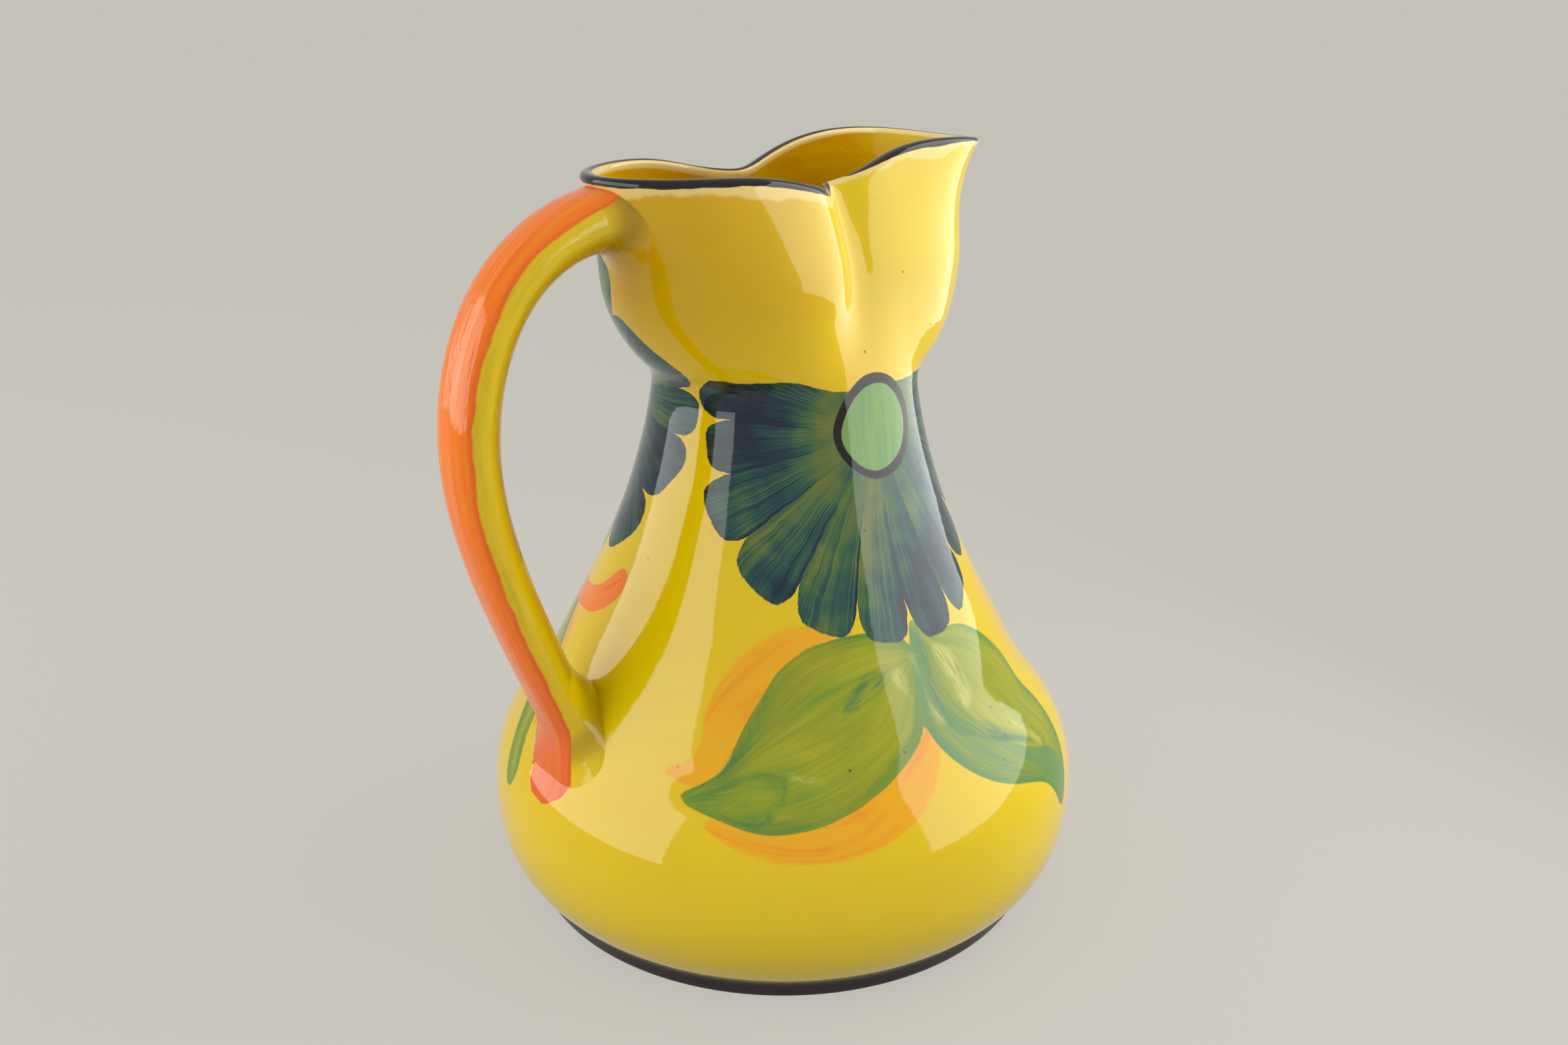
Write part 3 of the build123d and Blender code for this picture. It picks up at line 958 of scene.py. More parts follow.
# for each petal: its spread in 255ths of a turn, its length in millimetres and how loaded the brush was
FRONT_PETALS = (
    (19, 51.0, 1.00), (13, 49.5, 0.85), (13, 56.5, 0.80), (13, 58.5, 0.42), (13, 57.5, 0.32),
    (13, 55.8, 0.42), (13, 57.2, 0.55), (12, 58.0, 0.90), (11, 57.5, 0.75), (12, 55.0, 0.60),
    (12, 53.0, 0.75), (13, 51.0, 0.85), *[(13, 50.0, 0.80)] * 2, *[(12, 50.0, 0.80)] * 6,
)
FRONT_START = 150.0  # degrees, where the first petal begins
BACK_PETALS = (
    (17, 52.0, 0.60), (20, 54.0, 0.55), (18, 50.5, 0.80), (13, 48.5, 0.60), (16, 56.0, 0.70),
    (19, 62.0, 0.55), (19, 60.0, 0.60), (19, 47.0, 0.90), (19, 46.0, 0.80), (19, 44.0, 0.85),
    (19, 48.0, 0.70), (19, 52.0, 0.60), (19, 54.0, 0.65), (19, 53.0, 0.75),
)
BACK_START = 275.0
PETAL_STEPS = 255  # the spreads of a flower's petals add up to this
TIP_DEPTH = 0.145  # how far the corners of a petal's tip fall back, as a share of its length
TIP_SQUARE = 4.6  # the higher, the squarer the tip
CRISP = 0.2  # half the width over which a painted edge fades, in millimetres


def flower_group(name, petals, start_angle):
    """A brushed flower: one blunt stroke for each petal, a round eye and the line round it."""
    wire, given = open_group(name, {
        "Turn": 0.0, "Radius": 40.0, "Height": 0.0, "Centre Turn": 0.0, "Centre Height": 150.0,
        "Ceiling": 300.0, "Seed": 0.0, "Eye Radius": 14.0, "Ring Width": 2.6,
    })
    seed = given["Seed"]
    away = wire.math("WRAP", given["Turn"] - given["Centre Turn"], 180.0, -180.0)
    flat_x = wire.math("RADIANS", away) * given["Radius"]
    flat_y = given["Height"] - given["Centre Height"]
    flat = wire.vector(flat_x, flat_y, seed)
    swapped = wire.vector(flat_y, flat_x, 7.7)
    x = flat_x + wire.noise(flat, 0.13, 3.0).centred(1.8)
    y = flat_y + wire.noise(swapped, 0.13, 3.0).centred(1.8)

    turned = wire.math("DEGREES", wire.math("ARCTAN2", y, x)) - start_angle
    share = wire.math("WRAP", turned, 360.0, 0.0) / 360.0
    forms, loads, start = [], [], 0
    for spread, length, load in petals:
        place = max(0.0, (start - 0.5) / PETAL_STEPS)
        middle, half = (start + spread / 2) / PETAL_STEPS, spread / 2 / PETAL_STEPS
        forms.append((place, (middle, length / 100, half * 10)))
        loads.append((place, (load, load, load)))
        start += spread
    middle, length, half = wire.split_colour(wire.ramp(share, forms, "CONSTANT"))
    load = wire.split_colour(wire.ramp(share, loads, "CONSTANT"))[0]
    across = (share - middle) * 10.0 / half
    reach, length = wire.length(x, y), length * 100.0
    along = reach / length
    own = wire.value("TexWhiteNoise", {"W": middle * 91.0 + seed}, noise_dimensions="1D")

    fall_back = wire.math("POWER", wire.math("ABSOLUTE", across), TIP_SQUARE) * TIP_DEPTH
    limit = length * (across * own.centred(0.07) + 1.0 - fall_back)
    ragged = wire.noise(wire.vector(flat_x * 0.9, flat_y * 0.9, 3.0), 1.0, 3.0).centred(0.9)
    inside = limit + ragged - reach
    step_up = flat_x.fall(-26.0, -8.0) * 4.2
    under_ceiling = given["Ceiling"] + step_up - (given["Height"] + wire.noise(flat, 0.13, 2.0).centred(2.0))
    shown = inside.rise(-CRISP, CRISP) * under_ceiling.rise(-CRISP, CRISP)

    bristles = wire.noise(wire.vector(across * 5.5 + own * 40.0, along * 0.8, seed), 1.0, 5.0, 0.7)
    fine = wire.noise(wire.vector(across * 27.0 + own * 70.0, along * 1.2, 4.0), 1.0, 3.0, 0.6)
    cloud = wire.noise(wire.vector(x, y, own * 9.0), 0.07, 2.0)
    grown = along.rise(0.30, 0.55)
    ink = along.rise(0.28, 0.78) * (load * 0.68 - 0.02)
    ink = ink + (bristles.centred(1.9) + fine.centred(1.3)) * (grown * 0.55 + 0.45) + cloud.centred(1.7)
    overlap = across.rise(0.84, 0.96) * grown * 0.7
    far_side = across * grown * 0.13
    pool = inside.fall(0.2, 1.3) * 0.12
    ink = wire.math("ADD", ink + overlap + far_side + pool, 0.29, clamp=True)

    off_y = flat_y + 0.5
    off_x = (flat_x - 0.6) * (wire.math("MAXIMUM", off_y, 0.0) * 0.012 + 1.0)
    reach = wire.length(off_x, off_y) + wire.noise(flat, 0.05, 1.0).centred(1.6)
    wobble = wire.noise(wire.vector(flat_y, flat_x, 2.0), 0.07, 2.0).centred(1.6)
    in_eye = given["Eye Radius"] - reach
    in_ring = reach + wobble + (flat_x + flat_y) * 0.025 - given["Eye Radius"] + given["Ring Width"]
    ring = in_eye.rise(-0.15, 0.15) * in_ring.rise(-0.15, 0.15)
    streak = wire.noise(wire.vector(flat_x * 0.55, flat_y * 0.05, seed), 1.0, 4.0, 0.6)
    return close_group(wire, Petals=shown, Ink=ink, Eye=in_eye.rise(0.0, 0.4), Ring=ring, Eye_Ink=streak)


def stroke_group():
    """A brushed stroke or leaf from its field of edge distance, veer and place along."""
    wire, given = open_group("Brushed Stroke", {
        "Field": None, "Bristles": 6.0, "Raggedness": 0.8, "Contrast": 1.0, "Softness": 0.2,
        "Margin": 0.0, "Seed": 0.0,
    })
    edge, veer, along = wire.split(given["Field"])
    bristles, seed = given["Bristles"], given["Seed"]
    coarse = wire.noise(wire.vector(veer * bristles, along * 1.7, seed), 1.0, 4.0, 0.6)
    fine = wire.noise(wire.vector(veer * (bristles * 3.5), along * 3.0, 3.0), 1.0, 3.0, 0.6)
    broad = wire.noise(wire.vector(veer * 1.4, along * 2.2, seed), 1.0, 2.0)
    ragged = wire.noise(wire.vector(edge, along * 14.0, seed), 0.5, 3.0)
    edge = edge + (ragged - 0.5) * given["Raggedness"]
    ink = (coarse.centred(1.9) + fine.centred(1.1)) * given["Contrast"] + broad.centred(1.1)
    ink = wire.math("ADD", ink + edge.fall(0.0, 6.0) * given["Margin"], 0.42, clamp=True)
    stroke = edge.rise(-0.15, given["Softness"])
    return close_group(wire, Stroke=stroke, Ink=ink, Edge=edge.fall(0.3, 1.6))


STRIPE_END = 43.5  # height of the stripe's lowest drip
STRIPE_TOP = 0.6  # where it starts along the strap


def stripe_group():
    """The orange stripe down the outside of the handle, with its rounded top and dripping end."""
    wire, given = open_group("Handle Stripe", {
        "Across": 0.0, "Proud": 6.0, "Along": 100.0, "Height": 100.0, "Half Width": 8.3,
    })
    across, along, height = given["Across"], given["Along"], given["Height"]
    side = wire.math("ABSOLUTE", across)
    wobble = wire.noise(wire.vector(wire.math("SIGN", across) * 20.0, height, along * 0.4), 0.09, 3.0)
    inside = given["Half Width"] + wobble * 1.4 + height.fall(52.0, 74.0) * 1.6 - side
    share = wire.math("MINIMUM", side / 9.0, 1.0)
    bow = 1.0 - wire.math("SQRT", 1.0 - share * share)
    drip = wire.noise(wire.vector(across, 3.0, 1.0), 0.08, 2.0) * 7.0
    ends = wire.math("MINIMUM", along - (bow * 7.0 + STRIPE_TOP), height - (drip + STRIPE_END + bow * 6.0))
    edge = wire.math("MINIMUM", inside, ends)
    stripe = edge.rise(-CRISP, CRISP) * given["Proud"].rise(-1.5, -0.5)
    brush = wire.noise(wire.vector(across * 0.42, along * 0.02, 2.0), 1.0, 4.0, 0.6)
    return close_group(wire, Stripe=stripe, Ink=brush, Edge=edge.fall(0.2, 1.3))


def glaze_group():
    """Slow colour drift, brush marks, ripples and specks of a hand-dipped glaze."""
    wire, given = open_group("Dipped Glaze", {"Place": None})
    place = given["Place"]
    x, y, z = wire.split(place)
    ripple = wire.noise(place, 0.028, 1.0) + wire.noise(place, 0.11, 2.0) * 0.09
    marks = []
    for scale, size, rarity in ((0.14, 0.28, 0.86), (0.22, 0.3, 0.9)):
        cells = wire.signals(wire.node("TexVoronoi", {"Vector": place, "Scale": scale}))
        rare = wire.math("GREATER_THAN", wire.split_colour(cells["Color"])[0], rarity)
        marks.append((cells["Distance"] / scale).fall(size, size + 0.25) * rare)
    return close_group(
        wire, Drift=wire.noise(place, 0.016, 3.0), Ripple=ripple, Specks=marks[0], Pits=marks[1],
        Brush=wire.noise(wire.vector(x * 0.35, y * 0.35, z * 1.6), 0.09, 4.0, 0.6),
    )


@cache
def shared_groups():
    """The node groups, made once and shared by the materials."""
    return {
        "place": place_group(), "stroke": stroke_group(), "stripe": stripe_group(), "glaze": glaze_group(),
        "front": flower_group("Front Flower", FRONT_PETALS, FRONT_START),
        "back": flower_group("Back Flower", BACK_PETALS, BACK_START),
    }


# ---------------------------------------------------------------- settings
def chart_colour(red, green, blue):
    """Linear colour from the shares of 255 that a paint chart gives."""
    shares = np.array([red, green, blue]) / 255
    return tuple(np.where(shares <= 10 / 255, shares / 12.92, ((shares + 0.055) / 1.055) ** 2.4).tolist())


def tint(name, description, *chart):
    """A colour of the paint chart that can be changed."""
    return FloatVectorProperty(
        name=name, description=description, subtype="COLOR", size=3, default=chart_colour(*chart),
    )


def size(name, description, default, most, precision=4):
    """A size in metres that can be changed."""
    return FloatProperty(
        name=name, description=description, default=default, min=0.0, max=most,
        subtype="DISTANCE", unit="LENGTH", precision=precision,
    )


class JugPaint(bpy.types.PropertyGroup):
    """Colours, finish and drawn sizes of the glaze and the paint."""

    yellow: tint("Yellow", "Yellow ground glaze where it is thick", 222, 185, 0)
    # also laid low on the belly as a painted greenish reflection
    lemon: tint("Lemon", "Yellow ground glaze where it is thin", 226, 198, 0)
    amber: tint("Amber", "Yellow ground glaze where it has run thick on the collar", 192, 140, 0)
    # laid inside the jug as painted shade of the hollow
    ochre: tint("Ochre", "Glaze inside the jug", 214, 158, 4)
    # also the painted highlight in a fringe just below the lip's black line
    cream: tint("Cream", "Pale body showing through thin glaze at the lip", 240, 218, 150)
    orange: tint("Orange", "Stripe on the handle", 244, 120, 0)
    rust: tint("Rust", "Darker edge and brush marks of the stripe", 212, 78, 0)
    swash: tint("Swash", "Thin orange strokes behind the leaves", 236, 158, 0)
    swash_deep: tint("Deep swash", "The same strokes where the paint lies thick", 230, 130, 0)
    petal_thin: tint("Thin petal", "Petal paint where the yellow shows through", 106, 114, 44)
    petal_green: tint("Green petal", "Petal paint brushed thin", 62, 98, 56)
    petal_mid: tint("Middle petal", "Petal paint of middle thickness", 16, 72, 70)
    petal_deep: tint("Deep petal", "Petal paint where it is thickest", 2, 30, 50)
    leaf_thin: tint("Thin leaf", "Leaf paint where the yellow shows through", 150, 162, 34)
    leaf: tint("Leaf", "Leaf paint of middle thickness", 126, 147, 22)
    leaf_deep: tint("Deep leaf", "Leaf paint where it is thickest", 78, 128, 48)
    leaf_blue: tint("Blue leaf", "Bluish leaf paint of the strokes laid over a leaf", 80, 134, 84)
    leaf_dark: tint("Dark leaf", "Touches of darker green over the leaves", 50, 114, 72)
    leaf_pale: tint("Pale leaf", "Touches of paler green over the leaves", 214, 208, 118)
    eye: tint("Eye", "Pale green middle of a flower", 124, 158, 76)
    eye_deep: tint("Deep eye", "Brush marks in the middle of a flower", 96, 146, 84)
    # low on the belly this olive is painted shade, darker towards the foot
    olive: tint("Olive", "Yellow glaze drawn thin along the handle and over the foot", 176, 154, 14)
    # painted shade for the inside of the handle, where it faces the body
    handle_inner_shade: tint("Deep ochre", "Glaze that has gathered on the inside of the handle", 168, 118, 4)
    # painted shade in the crease round the handle's ends, where glaze has also pooled
    crease_shade_and_pool: tint("Pooled glaze", "Glaze that has pooled in the crease round the handle's ends", 132, 104, 6)
    black: tint("Black", "Lines on the lip, the foot and round a flower", 9, 8, 11)
    clay: tint("Clay", "Bare clay under the foot", 206, 176, 138)
    speck: tint("Speck", "Iron specks in the glaze", 70, 40, 14)
    gloss: FloatProperty(
        name="Roughness", description="Roughness of the glaze", default=0.05, min=0.0, max=1.0,
        subtype="FACTOR",
    )
    ripple: size("Ripple", "Depth of the slow waves in the glaze", 0.0007, 0.003, precision=5)
    eye_radius: size("Flower eye", "Radius of a flower's eye with its line", 0.0141, 0.02)
    ring_width: size("Eye line", "Width of the black line round a flower's eye", 0.0026, 0.006)
    stripe_half: size("Stripe", "Half the width of the handle's stripe", 0.0083, 0.0098)
    foot_line: size("Foot line", "Height of the black line round the foot", 0.0055, 0.02)


class JugShape(bpy.types.PropertyGroup):
    """Fineness of the modelled skin; the clay's own sizes follow the solid model."""

    body_columns: IntProperty(
        name="Body columns", description="Columns of the skin at each station of the collar's outline",
        default=10, min=4, max=20,
    )
    strap_columns: IntProperty(
        name="Handle columns", description="Columns of the handle at each station of its section",
        default=7, min=3, max=16,
    )
    spacing: size("Spacing", "Distance between rows of the skin", 0.0017, 0.006)


class JugStage(bpy.types.PropertyGroup):
    """Floor, lamps and camera."""

    floor: FloatVectorProperty(
        name="Floor", description="Colour of the floor", subtype="COLOR", size=3, default=(0.60, 0.58, 0.53),
    )
    fill: FloatVectorProperty(
        name="Fill colour", description="Colour of the even fill light", subtype="COLOR", size=3,
        default=(1.0, 0.98, 0.95),
    )
    sky: FloatProperty(
        name="Fill", description="Strength of the even fill light", default=0.60, min=0.0, max=2.0,
        subtype="FACTOR",
    )
    lamp: FloatProperty(
        name="Lamp power", description="Power of a softbox for each square metre of it", default=8.4,
        min=0.0, subtype="POWER", unit="POWER",
    )
    lens: FloatProperty(
        name="Lens", description="Focal length of the camera in millimetres", default=32.92,
        min=10.0, max=200.0, unit="CAMERA",
    )


# ---------------------------------------------------------------- materials
GLAZE_IOR = 1.52
COLLAR_START = 158.0  # height from which the collar's glaze differs from the body's
RIM_WIDEST = 5.0

# width of the black line under the lip, in millimetres, at turns about the axis
RIM_LINE = (
    (-180, 3.4), (-160, 3.6), (-120, 4.0), (-99, 4.9), (-93.5, 0.0), (-80, 0.0), (-77, 0.8), (-55, 2.7),
    (-34, 4.2), (-14, 2.4), (10, 2.2), (45, 2.8), (88, 3.0), (130, 3.0), (180, 3.4),
)

# for each flower: its group, seed, the turn and height of its centre, and the height that its petals stop at
FLOWERS = (("front", 0.0, -88.5, 149.0, 158.6), ("back", 5.0, 123.0, 150.0, 400.0))


def new_material(name):
    """An empty material with its wiring."""
    material = bpy.data.materials.new(name)
    material.use_nodes = True
    material.node_tree.nodes.clear()
    return material, Wiring(material.node_tree)


def glazed_surface(wire, paint, colour, roughness, waves):
    """The shiny glaze itself over a painted colour."""
    normal = wire.value("Bump", {"Strength": 1.0, "Distance": paint.ripple, "Height": waves})
    shader = wire.value("BsdfPrincipled", {
        "IOR": GLAZE_IOR, "Base Color": colour, "Roughness": roughness, "Normal": normal,
    })
    wire.node("OutputMaterial", {"Surface": shader})


def ground_colour(wire, glaze, paint):
    """Yellow ground glaze with its drift and brush marks."""
    thin = wire.math("ADD", glaze["Drift"].centred(2.6), 0.5, clamp=True)
    return wire.lay(paint.yellow, (thin, paint.lemon), (glaze["Brush"].rise(0.35, 0.75) * 0.10, paint.swash))


def run_thick(glaze, x, height):
    """How thick the amber glaze of the collar has run, thickest on the handle's side."""
    handle_side = x.fall(-36.0, -6.0) * 0.8 + 0.2
    patchy = glaze["Drift"] * 0.9 + 0.1
    return height.rise(COLLAR_START, 186.0) * patchy * handle_side


def add_stripe(wire, paint, colour, across, proud, along, height):
    """Paints the handle's stripe over a colour."""
    stripe = wire.group(
        shared_groups()["stripe"], Across=across, Proud=proud, Along=along, Height=height,
        Half_Width=paint.stripe_half / MM,
    )
    orange = wire.lay(
        paint.orange, (stripe["Ink"].rise(0.45, 0.75) * 0.5, paint.rust),
        (stripe["Ink"].fall(0.30, 0.46) * 0.4, paint.swash), (height.fall(50.0, 130.0) * 0.5, paint.rust),
        (stripe["Edge"] * 0.5, paint.rust),
    )
    return wire.lay(colour, (stripe["Stripe"], orange))


def add_strokes(wire, paint, colour):
    """Paints the swashes, leaves, touches and crescents over a colour."""
    leaf_inks = (paint.leaf_thin, paint.leaf, paint.leaf_deep)
    blue_inks = (paint.leaf, paint.leaf_blue, paint.leaf_blue)
    dark_inks = (paint.leaf, paint.leaf_dark, paint.leaf_dark)
    pale_inks = (paint.leaf_pale, paint.leaf_pale, paint.leaf_thin)
    # for each paint: its three inks, bristles, raggedness, contrast, softness, deeper margin,
    # edge line, and how far it covers where it is thin and where it is thick
    layers = (
        ("swash", (paint.swash, paint.swash, paint.swash_deep), 2.2, 1.6, 0.9, 1.2, 0.0, 0.10, (0.62, 0.92)),
        ("leaf", leaf_inks, 10.0, 0.7, 0.5, 0.3, 0.35, 0.0, (0.78, 1.0)),
        ("tip_dab", leaf_inks, 4.0, 0.7, 0.8, 1.5, 0.35, 0.0, (0.30, 0.85)),
        ("fold_stroke", blue_inks, 5.0, 0.7, 0.8, 0.7, 0.1, 0.15, (0.50, 0.9)),
        ("dark_touch", dark_inks, 3.0, 0.9, 1.2, 1.6, 0.0, 0.0, (0.15, 0.85)),
        ("pale_touch", pale_inks, 3.0, 0.9, 1.3, 2.4, 0.0, 0.0, (0.65, 0.0)),
        ("crescent", (paint.orange, paint.orange, paint.rust), 2.0, 0.7, 0.5, 0.3, 0.0, 0.15, (0.90, 1.0)),
    )
    for number, (name, inks, bristles, raggedness, contrast, softness, margin, line, cover) in (
        enumerate(layers)
    ):
        stroke = wire.group(
            shared_groups()["stroke"], Field=wire.field(name), Bristles=bristles, Raggedness=raggedness,
            Contrast=contrast, Softness=softness, Margin=margin, Seed=3.0 + number,
        )
        inked = wire.ramp(stroke["Ink"], tuple(zip((0.05, 0.45, 0.95), inks)))
        inked = wire.lay(inked, (stroke["Edge"] * line, inks[2]))
        covering = stroke["Ink"] * (cover[1] - cover[0]) + cover[0]
        colour = wire.lay(colour, (stroke["Stroke"] * covering, inked))
    return colour


def add_flowers(wire, paint, colour, place):
    """Paints both flowers over a colour."""
    inks = (
        (0.0, paint.petal_thin), (0.32, paint.petal_green), (0.6, paint.petal_mid), (1.0, paint.petal_deep),
    )
    for name, seed, centre_turn, centre_height, ceiling in FLOWERS:
        flower = wire.group(
            shared_groups()[name], Turn=place["Turn"], Radius=place["Radius"], Height=place["Height"],
            Centre_Turn=centre_turn, Centre_Height=centre_height, Ceiling=ceiling, Seed=seed,
            Eye_Radius=paint.eye_radius / MM, Ring_Width=paint.ring_width / MM,
        )
        eye = wire.lay(paint.eye, (flower["Eye Ink"].rise(0.3, 0.75), paint.eye_deep))
        petals = wire.ramp(flower["Ink"], inks)
        colour = wire.lay(
            colour, (flower["Petals"], petals), (flower["Eye"], eye), (flower["Ring"], paint.black),
        )
    return colour


def add_lip(wire, paint, colour, glaze, place, lip_run, wander):
    """Lays painted shade inside the jug, the pale lip, the black line under it and a painted highlight below
    that line, by the run from the lip's crown.
    """
    # painted shade: darker ochre inside the jug, broken by brush marks of the yellow glaze
    inner = wire.lay(paint.ochre, (glaze["Brush"].rise(0.3, 0.7), paint.yellow))
    pale = lip_run.fall(-1.9, -1.0) * lip_run.rise(-4.2, -3.2) * 0.8
    stops = [((at + 180) / 360, (width / RIM_WIDEST, 0.0, 0.0)) for at, width in RIM_LINE]
    width = wire.split_colour(wire.ramp(place["Turn"] / 360.0 + 0.5, stops))[0] * RIM_WIDEST
    reach = width + wander * width.rise(0.2, 2.0) - lip_run
    # painted highlight: a pale cream fringe just below the black line under the lip
    fringe = wire.noise(place["Place"], 0.07, 3.0) * 8.5 - 2.4
    thin = reach.fall(0.1, 0.5) * (reach + fringe).rise(-1.6, -0.4) * (lip_run.rise(0.0, 0.5) * 0.6)
    line = reach.rise(0.0, 0.3) * lip_run.rise(-1.5, -1.1) * width.rise(0.1, 0.5)
    return wire.lay(
        colour, (lip_run.fall(-2.6, -1.6), inner), (pale, paint.cream), (thin, paint.cream),
        (line, paint.black),
    )


def body_material(paint):
    """Painted glaze of the body."""
    groups = shared_groups()
    material, wire = new_material("body glaze")
    place = wire.group(groups["place"])
    height = place["Height"]
    x, y, _ = wire.split(place["Place"])
    glaze = wire.group(groups["glaze"], Place=place["Place"])
    beak_side = x.rise(-20.0, 22.0) * height.rise(COLLAR_START, 180.0)
    # painted greenish reflection and painted shade: lemon low on the belly, then olive darker towards the
    # foot
    colour = wire.lay(
        ground_colour(wire, glaze, paint), (height.fall(10.0, 55.0) * 0.75, paint.lemon),
        (height.fall(3.0, 36.0) * 0.7, paint.olive), (beak_side * 0.8, paint.lemon),
        (run_thick(glaze, x, height), paint.amber),
    )
    colour = add_strokes(wire, paint, colour)
    colour = add_flowers(wire, paint, colour, place)
    below_handle = wire.math("LESS_THAN", x, 0.0) * wire.math("LESS_THAN", height, 58.0)
    colour = add_stripe(wire, paint, colour, y + 1.0, below_handle * 8.0 - 4.0, 180.0, height)

    lip_run = wire.field("lip_run", "Fac")
    wander = wire.noise(place["Place"], 0.12, 3.0).centred(1.4)
    colour = add_lip(wire, paint, colour, glaze, place, lip_run, wander)
    outside = lip_run.rise(20.0, 21.0)
    foot_line = paint.foot_line / MM
    foot = (height + wander).fall(foot_line, foot_line + 0.4) * outside
    under = place["Radius"].fall(70.0, 70.8) * (height.fall(3.9, 4.4) * outside)
    colour = wire.lay(colour, (foot, paint.black), (under, paint.clay), (glaze["Specks"] * 0.8, paint.speck))
    glazed_surface(wire, paint, colour, under * 0.7 + paint.gloss, glaze["Ripple"] - glaze["Pits"] * 0.12)
    return material


def strap_material(name, paint, slip):
    """Yellow glaze with the orange stripe, for the handle and for the slip round its ends."""
    groups = shared_groups()
    material, wire = new_material(name)
    place = wire.group(groups["place"])
    glaze = wire.group(groups["glaze"], Place=place["Place"])
    proud, across, along = wire.split(wire.field("strap_place"))
    colour = ground_colour(wire, glaze, paint)
    pulls = wire.noise(wire.vector(proud * 0.5, across * 0.5, along * 0.05), 1.0, 3.0, 0.6)
    if slip:
        x, _, height = wire.split(place["Place"])
        spread = wire.length(across / 9.5, proud / 6.5)
        run = run_thick(glaze, x, height) * spread.rise(1.0, 1.35)
        # painted shade and pooled glaze: a dark band on the slip in the crease round the handle's end
        crease_shade_and_pool = spread.rise(1.0, 1.25) * spread.fall(1.3, 1.75) * 0.55
        colour = wire.lay(colour, (run, paint.amber), (crease_shade_and_pool, paint.crease_shade_and_pool))
    else:
        thin = pulls.rise(0.45, 0.75) * 0.35 + 0.2
        # painted shade: darker ochre on the inside of the handle, where it faces the body
        colour = wire.lay(colour, (thin, paint.olive), (proud.fall(-5.5, -1.0) * 0.6, paint.handle_inner_shade))
    colour = add_stripe(wire, paint, colour, across, proud, along, place["Height"])
    colour = wire.lay(colour, (glaze["Specks"] * 0.8, paint.speck))
    glazed_surface(wire, paint, colour, paint.gloss, glaze["Ripple"] + pulls * (0.25 if slip else 0.5))
    return material


# ---------------------------------------------------------------- operators
HANDLE_ROWS = 130  # rows of the handle's skin from one end to the other
FAR_FROM_LIP = 300.0  # the run given to the middle of the underside and, less than zero, of the floor inside
CAMERA_PLACE = (-245.2, -316.1, 258.35)  # in millimetres
CAMERA_HEADING = (0.613, 0.790, 0.0)
CAMERA_DOWN = 20.42  # degrees below level
CAMERA_ROLL = 0.26
CAMERA_SENSOR = 36.0
FLOOR_REACH = 80.0  # metres
FLOOR_GLOW = 0.80  # how evenly lit the floor looks; the rest is its own light and shadow

# upright softboxes: middle of the lower edge, the way they face about Z, size in metres and share
# of the lamp power
LAMPS = (
    ("left softbox", (-0.785, 0.352, 0.053), -16.3, (1.16, 0.63), 0.86),
    ("right softbox", (0.240, -0.374, 0.087), 173.3, (0.80, 0.55), 0.84),
)


@cache
def jug_form(per_station, spacing):
    """The jug's rows of points, made once for the operators that need them."""
    return JugForm(per_station, spacing / MM)


class JUG_OT_camera(bpy.types.Operator):
    """Sets the camera above and to the left of the jug, on the handle's side"""

    bl_idname = "jug.camera"
    bl_label = "Camera"

    def execute(self, context):
        camera = bpy.data.cameras.new("camera")
        camera.sensor_width = CAMERA_SENSOR
        camera.lens = context.scene.jug_stage.lens
        camera.clip_start = 0.01
        holder = bpy.data.objects.new("camera", camera)
        context.scene.collection.objects.link(holder)
        holder.location = Vector(CAMERA_PLACE) * MM
        down = math.radians(CAMERA_DOWN)
        forward = Vector(CAMERA_HEADING).normalized() * math.cos(down) - Vector((0, 0, 1)) * math.sin(down)
        turn = forward.to_track_quat("-Z", "Y").to_matrix()
        holder.rotation_euler = (turn @ Matrix.Rotation(math.radians(CAMERA_ROLL), 3, "Z")).to_euler()
        context.scene.camera = holder
        return {"FINISHED"}


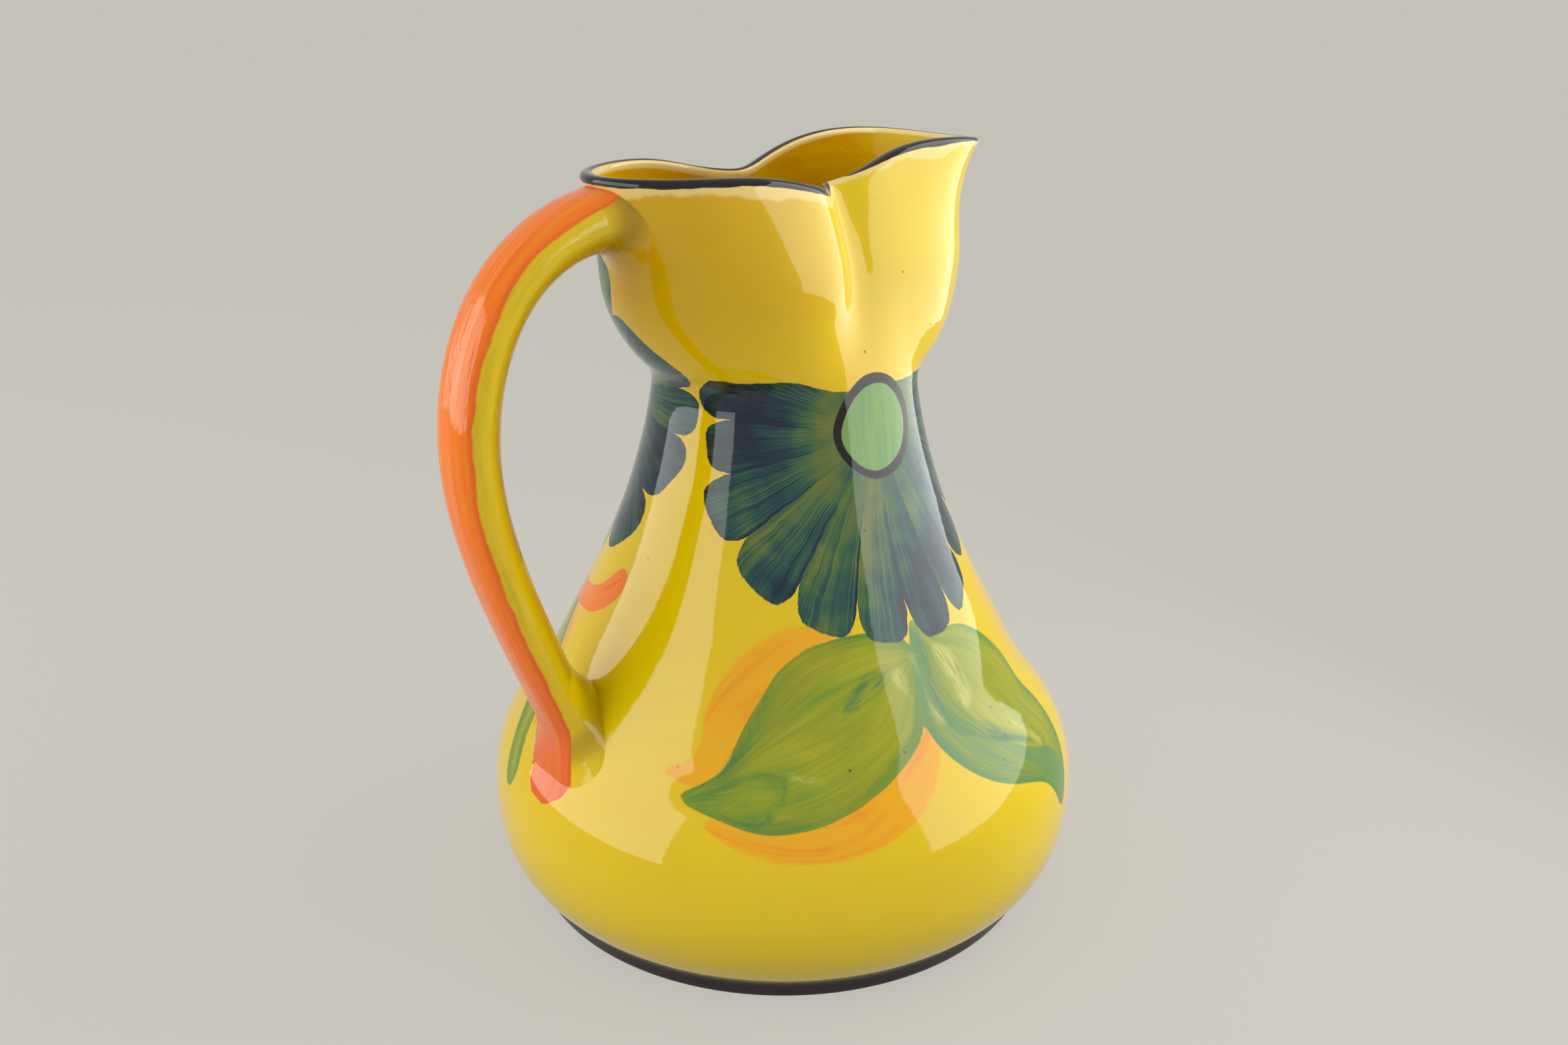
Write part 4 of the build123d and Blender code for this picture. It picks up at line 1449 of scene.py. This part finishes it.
class JUG_OT_stage(bpy.types.Operator):
    """Lays the pale floor and sets two tall soft lamps and an even fill"""

    bl_idname = "jug.stage"
    bl_label = "Floor and Lamps"

    def execute(self, context):
        self.lay_floor(context)
        self.set_lamps(context)
        stage = context.scene.jug_stage
        world = bpy.data.worlds.new("studio")
        context.scene.world = world
        world.use_nodes = True
        world.node_tree.nodes.clear()
        wire = Wiring(world.node_tree)
        back = wire.value("Background", {"Color": stage.fill, "Strength": stage.sky})
        wire.node("OutputWorld", {"Surface": back})
        context.scene.view_settings.view_transform = "Standard"
        return {"FINISHED"}

    def lay_floor(self, context):
        """A flat pale floor that keeps the jug's shadow."""
        stage = context.scene.jug_stage
        mesh = bpy.data.meshes.new("floor")
        corners = [(-1, -1, 0), (1, -1, 0), (1, 1, 0), (-1, 1, 0)]
        mesh.from_pydata([Vector(corner) * FLOOR_REACH for corner in corners], [], [(0, 1, 2, 3)])
        material, wire = new_material("floor")
        cloth = wire.value("BsdfDiffuse", {"Color": stage.floor})
        plain = wire.value("Emission", {"Color": stage.floor})
        rays = wire.signals(wire.node("LightPath", {}))
        seen = wire.math("MAXIMUM", rays["Is Glossy Ray"], rays["Is Transmission Ray"])
        seen = wire.math("MAXIMUM", rays["Is Camera Ray"], seen)
        blend = wire.value("MixShader", {0: seen * FLOOR_GLOW, 1: cloth, 2: plain})
        wire.node("OutputMaterial", {"Surface": blend})
        mesh.materials.append(material)
        floor = bpy.data.objects.new("floor", mesh)
        context.scene.collection.objects.link(floor)

    def set_lamps(self, context):
        """Both softboxes, out of the camera's sight."""
        for name, foot, faces, (width, height), share in LAMPS:
            lamp = bpy.data.lights.new(name, "AREA")
            lamp.shape = "RECTANGLE"
            lamp.size, lamp.size_y = width, height
            lamp.energy = context.scene.jug_stage.lamp * share * width * height
            holder = bpy.data.objects.new(name, lamp)
            context.scene.collection.objects.link(holder)
            holder.visible_camera = False
            holder.location = Vector(foot) + Vector((0, 0, height / 2))
            facing = Vector((math.cos(math.radians(faces)), math.sin(math.radians(faces)), 0.0))
            holder.rotation_euler = facing.to_track_quat("-Z", "Y").to_euler()


class JUG_OT_body(bpy.types.Operator):
    """Builds the painted body: belly, neck, folded collar and wavy lip in one skin"""

    bl_idname = "jug.body"
    bl_label = "Body"

    def execute(self, context):
        shape = context.scene.jug_shape
        form = jug_form(shape.body_columns, shape.spacing)
        count, columns = form.rows.shape[:2]
        steps = np.linalg.norm(np.diff(form.rows, axis=0), axis=2)
        run = np.concatenate([np.zeros((1, columns)), np.cumsum(steps, axis=0)])
        lip_run = (run[form.crown] - run).ravel()
        middles = [(0, 0, FOOT_RECESS), (0, 0, form.floor_height)]
        points = np.vstack([form.rows.reshape(-1, 3), middles])
        on_skin = np.arange(len(points)) < form.outside_rows * columns
        fields = paint_fields(points, on_skin & (points[:, 2] > FOOT_HEIGHT))
        fields["lip_run"] = np.concatenate([lip_run, [FAR_FROM_LIP, -FAR_FROM_LIP]])
        faces = grid_faces(count, columns) + cap_faces(count, columns)
        material = body_material(context.scene.jug_paint)
        make_piece("body", points, faces, fields, material, "jug_body")
        return {"FINISHED"}


class JUG_OT_handle(bpy.types.Operator):
    """Builds the pulled strap handle with its orange stripe"""

    bl_idname = "jug.handle"
    bl_label = "Handle"

    def execute(self, context):
        shape = context.scene.jug_shape
        form = StrapForm(
            jug_form(shape.body_columns, shape.spacing), shape.strap_columns, lambda share: (0.0, 0.0, 0.0),
        )
        rows, places = form.between_rows(form.meets_wall(True), form.meets_wall(False), HANDLE_ROWS)
        count, columns = rows.shape[:2]
        points, places = (
            np.vstack([store.reshape(-1, 3), store[0].mean(0), store[-1].mean(0)]) for store in (rows, places)
        )
        faces = grid_faces(count, columns) + cap_faces(count, columns)
        material = strap_material("handle glaze", context.scene.jug_paint, slip=False)
        make_piece("handle_strap", points, faces, {"strap_place": places}, material, "handle")
        return {"FINISHED"}


class JUG_OT_slip(bpy.types.Operator):
    """Builds the rolls of slip that stick the handle to the collar and to the shoulder"""

    bl_idname = "jug.slip"
    bl_label = "Slip Joints"

    def execute(self, context):
        shape = context.scene.jug_shape
        jug = jug_form(shape.body_columns, shape.spacing)
        upper_last = (STRAP_BURY + UPPER_SLIP_CLIMB) / strap_length
        lower_first = 1 - LOWER_SLIP_CLIMB / strap_length
        joints = (
            ("slip_at_collar", "upper_slip_joint", upper_growth, 0.0, upper_last, 160, True),
            ("slip_at_shoulder", "lower_slip_joint", lower_growth, lower_first, 1.0, 300, False),
        )
        for name, node, grown, first, last, steps, from_top in joints:
            rows, places = slip_rows(jug, shape.strap_columns, grown, first, last, steps, from_top)
            if from_top:  # its rows run towards the wall from the other end, so its columns turn too
                rows, places = rows[:, ::-1], places[:, ::-1]
            faces = grid_faces(*rows.shape[:2], closed=True)
            material = strap_material(f"{name} glaze", context.scene.jug_paint, slip=True)
            fields = {"strap_place": places.reshape(-1, 3)}
            make_piece(name, rows.reshape(-1, 3), faces, fields, material, node)
        return {"FINISHED"}


class JUG_PT_panel(bpy.types.Panel):
    """Lists the jug's operators and settings"""

    bl_label = "Painted Jug"
    bl_idname = "JUG_PT_panel"
    bl_space_type = "VIEW_3D"
    bl_region_type = "UI"
    bl_category = "Jug"

    def draw(self, context):
        for operator in OPERATORS:
            self.layout.operator(operator.bl_idname)
        for name in SETTINGS:
            group = getattr(context.scene, name)
            box = self.layout.box()
            for setting in group.__annotations__:
                box.prop(group, setting)


OPERATORS = (JUG_OT_camera, JUG_OT_stage, JUG_OT_body, JUG_OT_handle, JUG_OT_slip)
SETTINGS = {"jug_shape": JugShape, "jug_paint": JugPaint, "jug_stage": JugStage}


def register():
    for cls in (*SETTINGS.values(), *OPERATORS, JUG_PT_panel):
        bpy.utils.register_class(cls)
    for name, group in SETTINGS.items():
        setattr(bpy.types.Scene, name, PointerProperty(type=group))


def unregister():
    for name in SETTINGS:
        delattr(bpy.types.Scene, name)
    for cls in reversed((*SETTINGS.values(), *OPERATORS, JUG_PT_panel)):
        bpy.utils.unregister_class(cls)


def main():
    register()
    bpy.ops.jug.camera()
    bpy.ops.jug.stage()
    bpy.ops.jug.body()
    bpy.ops.jug.handle()
    bpy.ops.jug.slip()


if __name__ == "__main__":
    main()
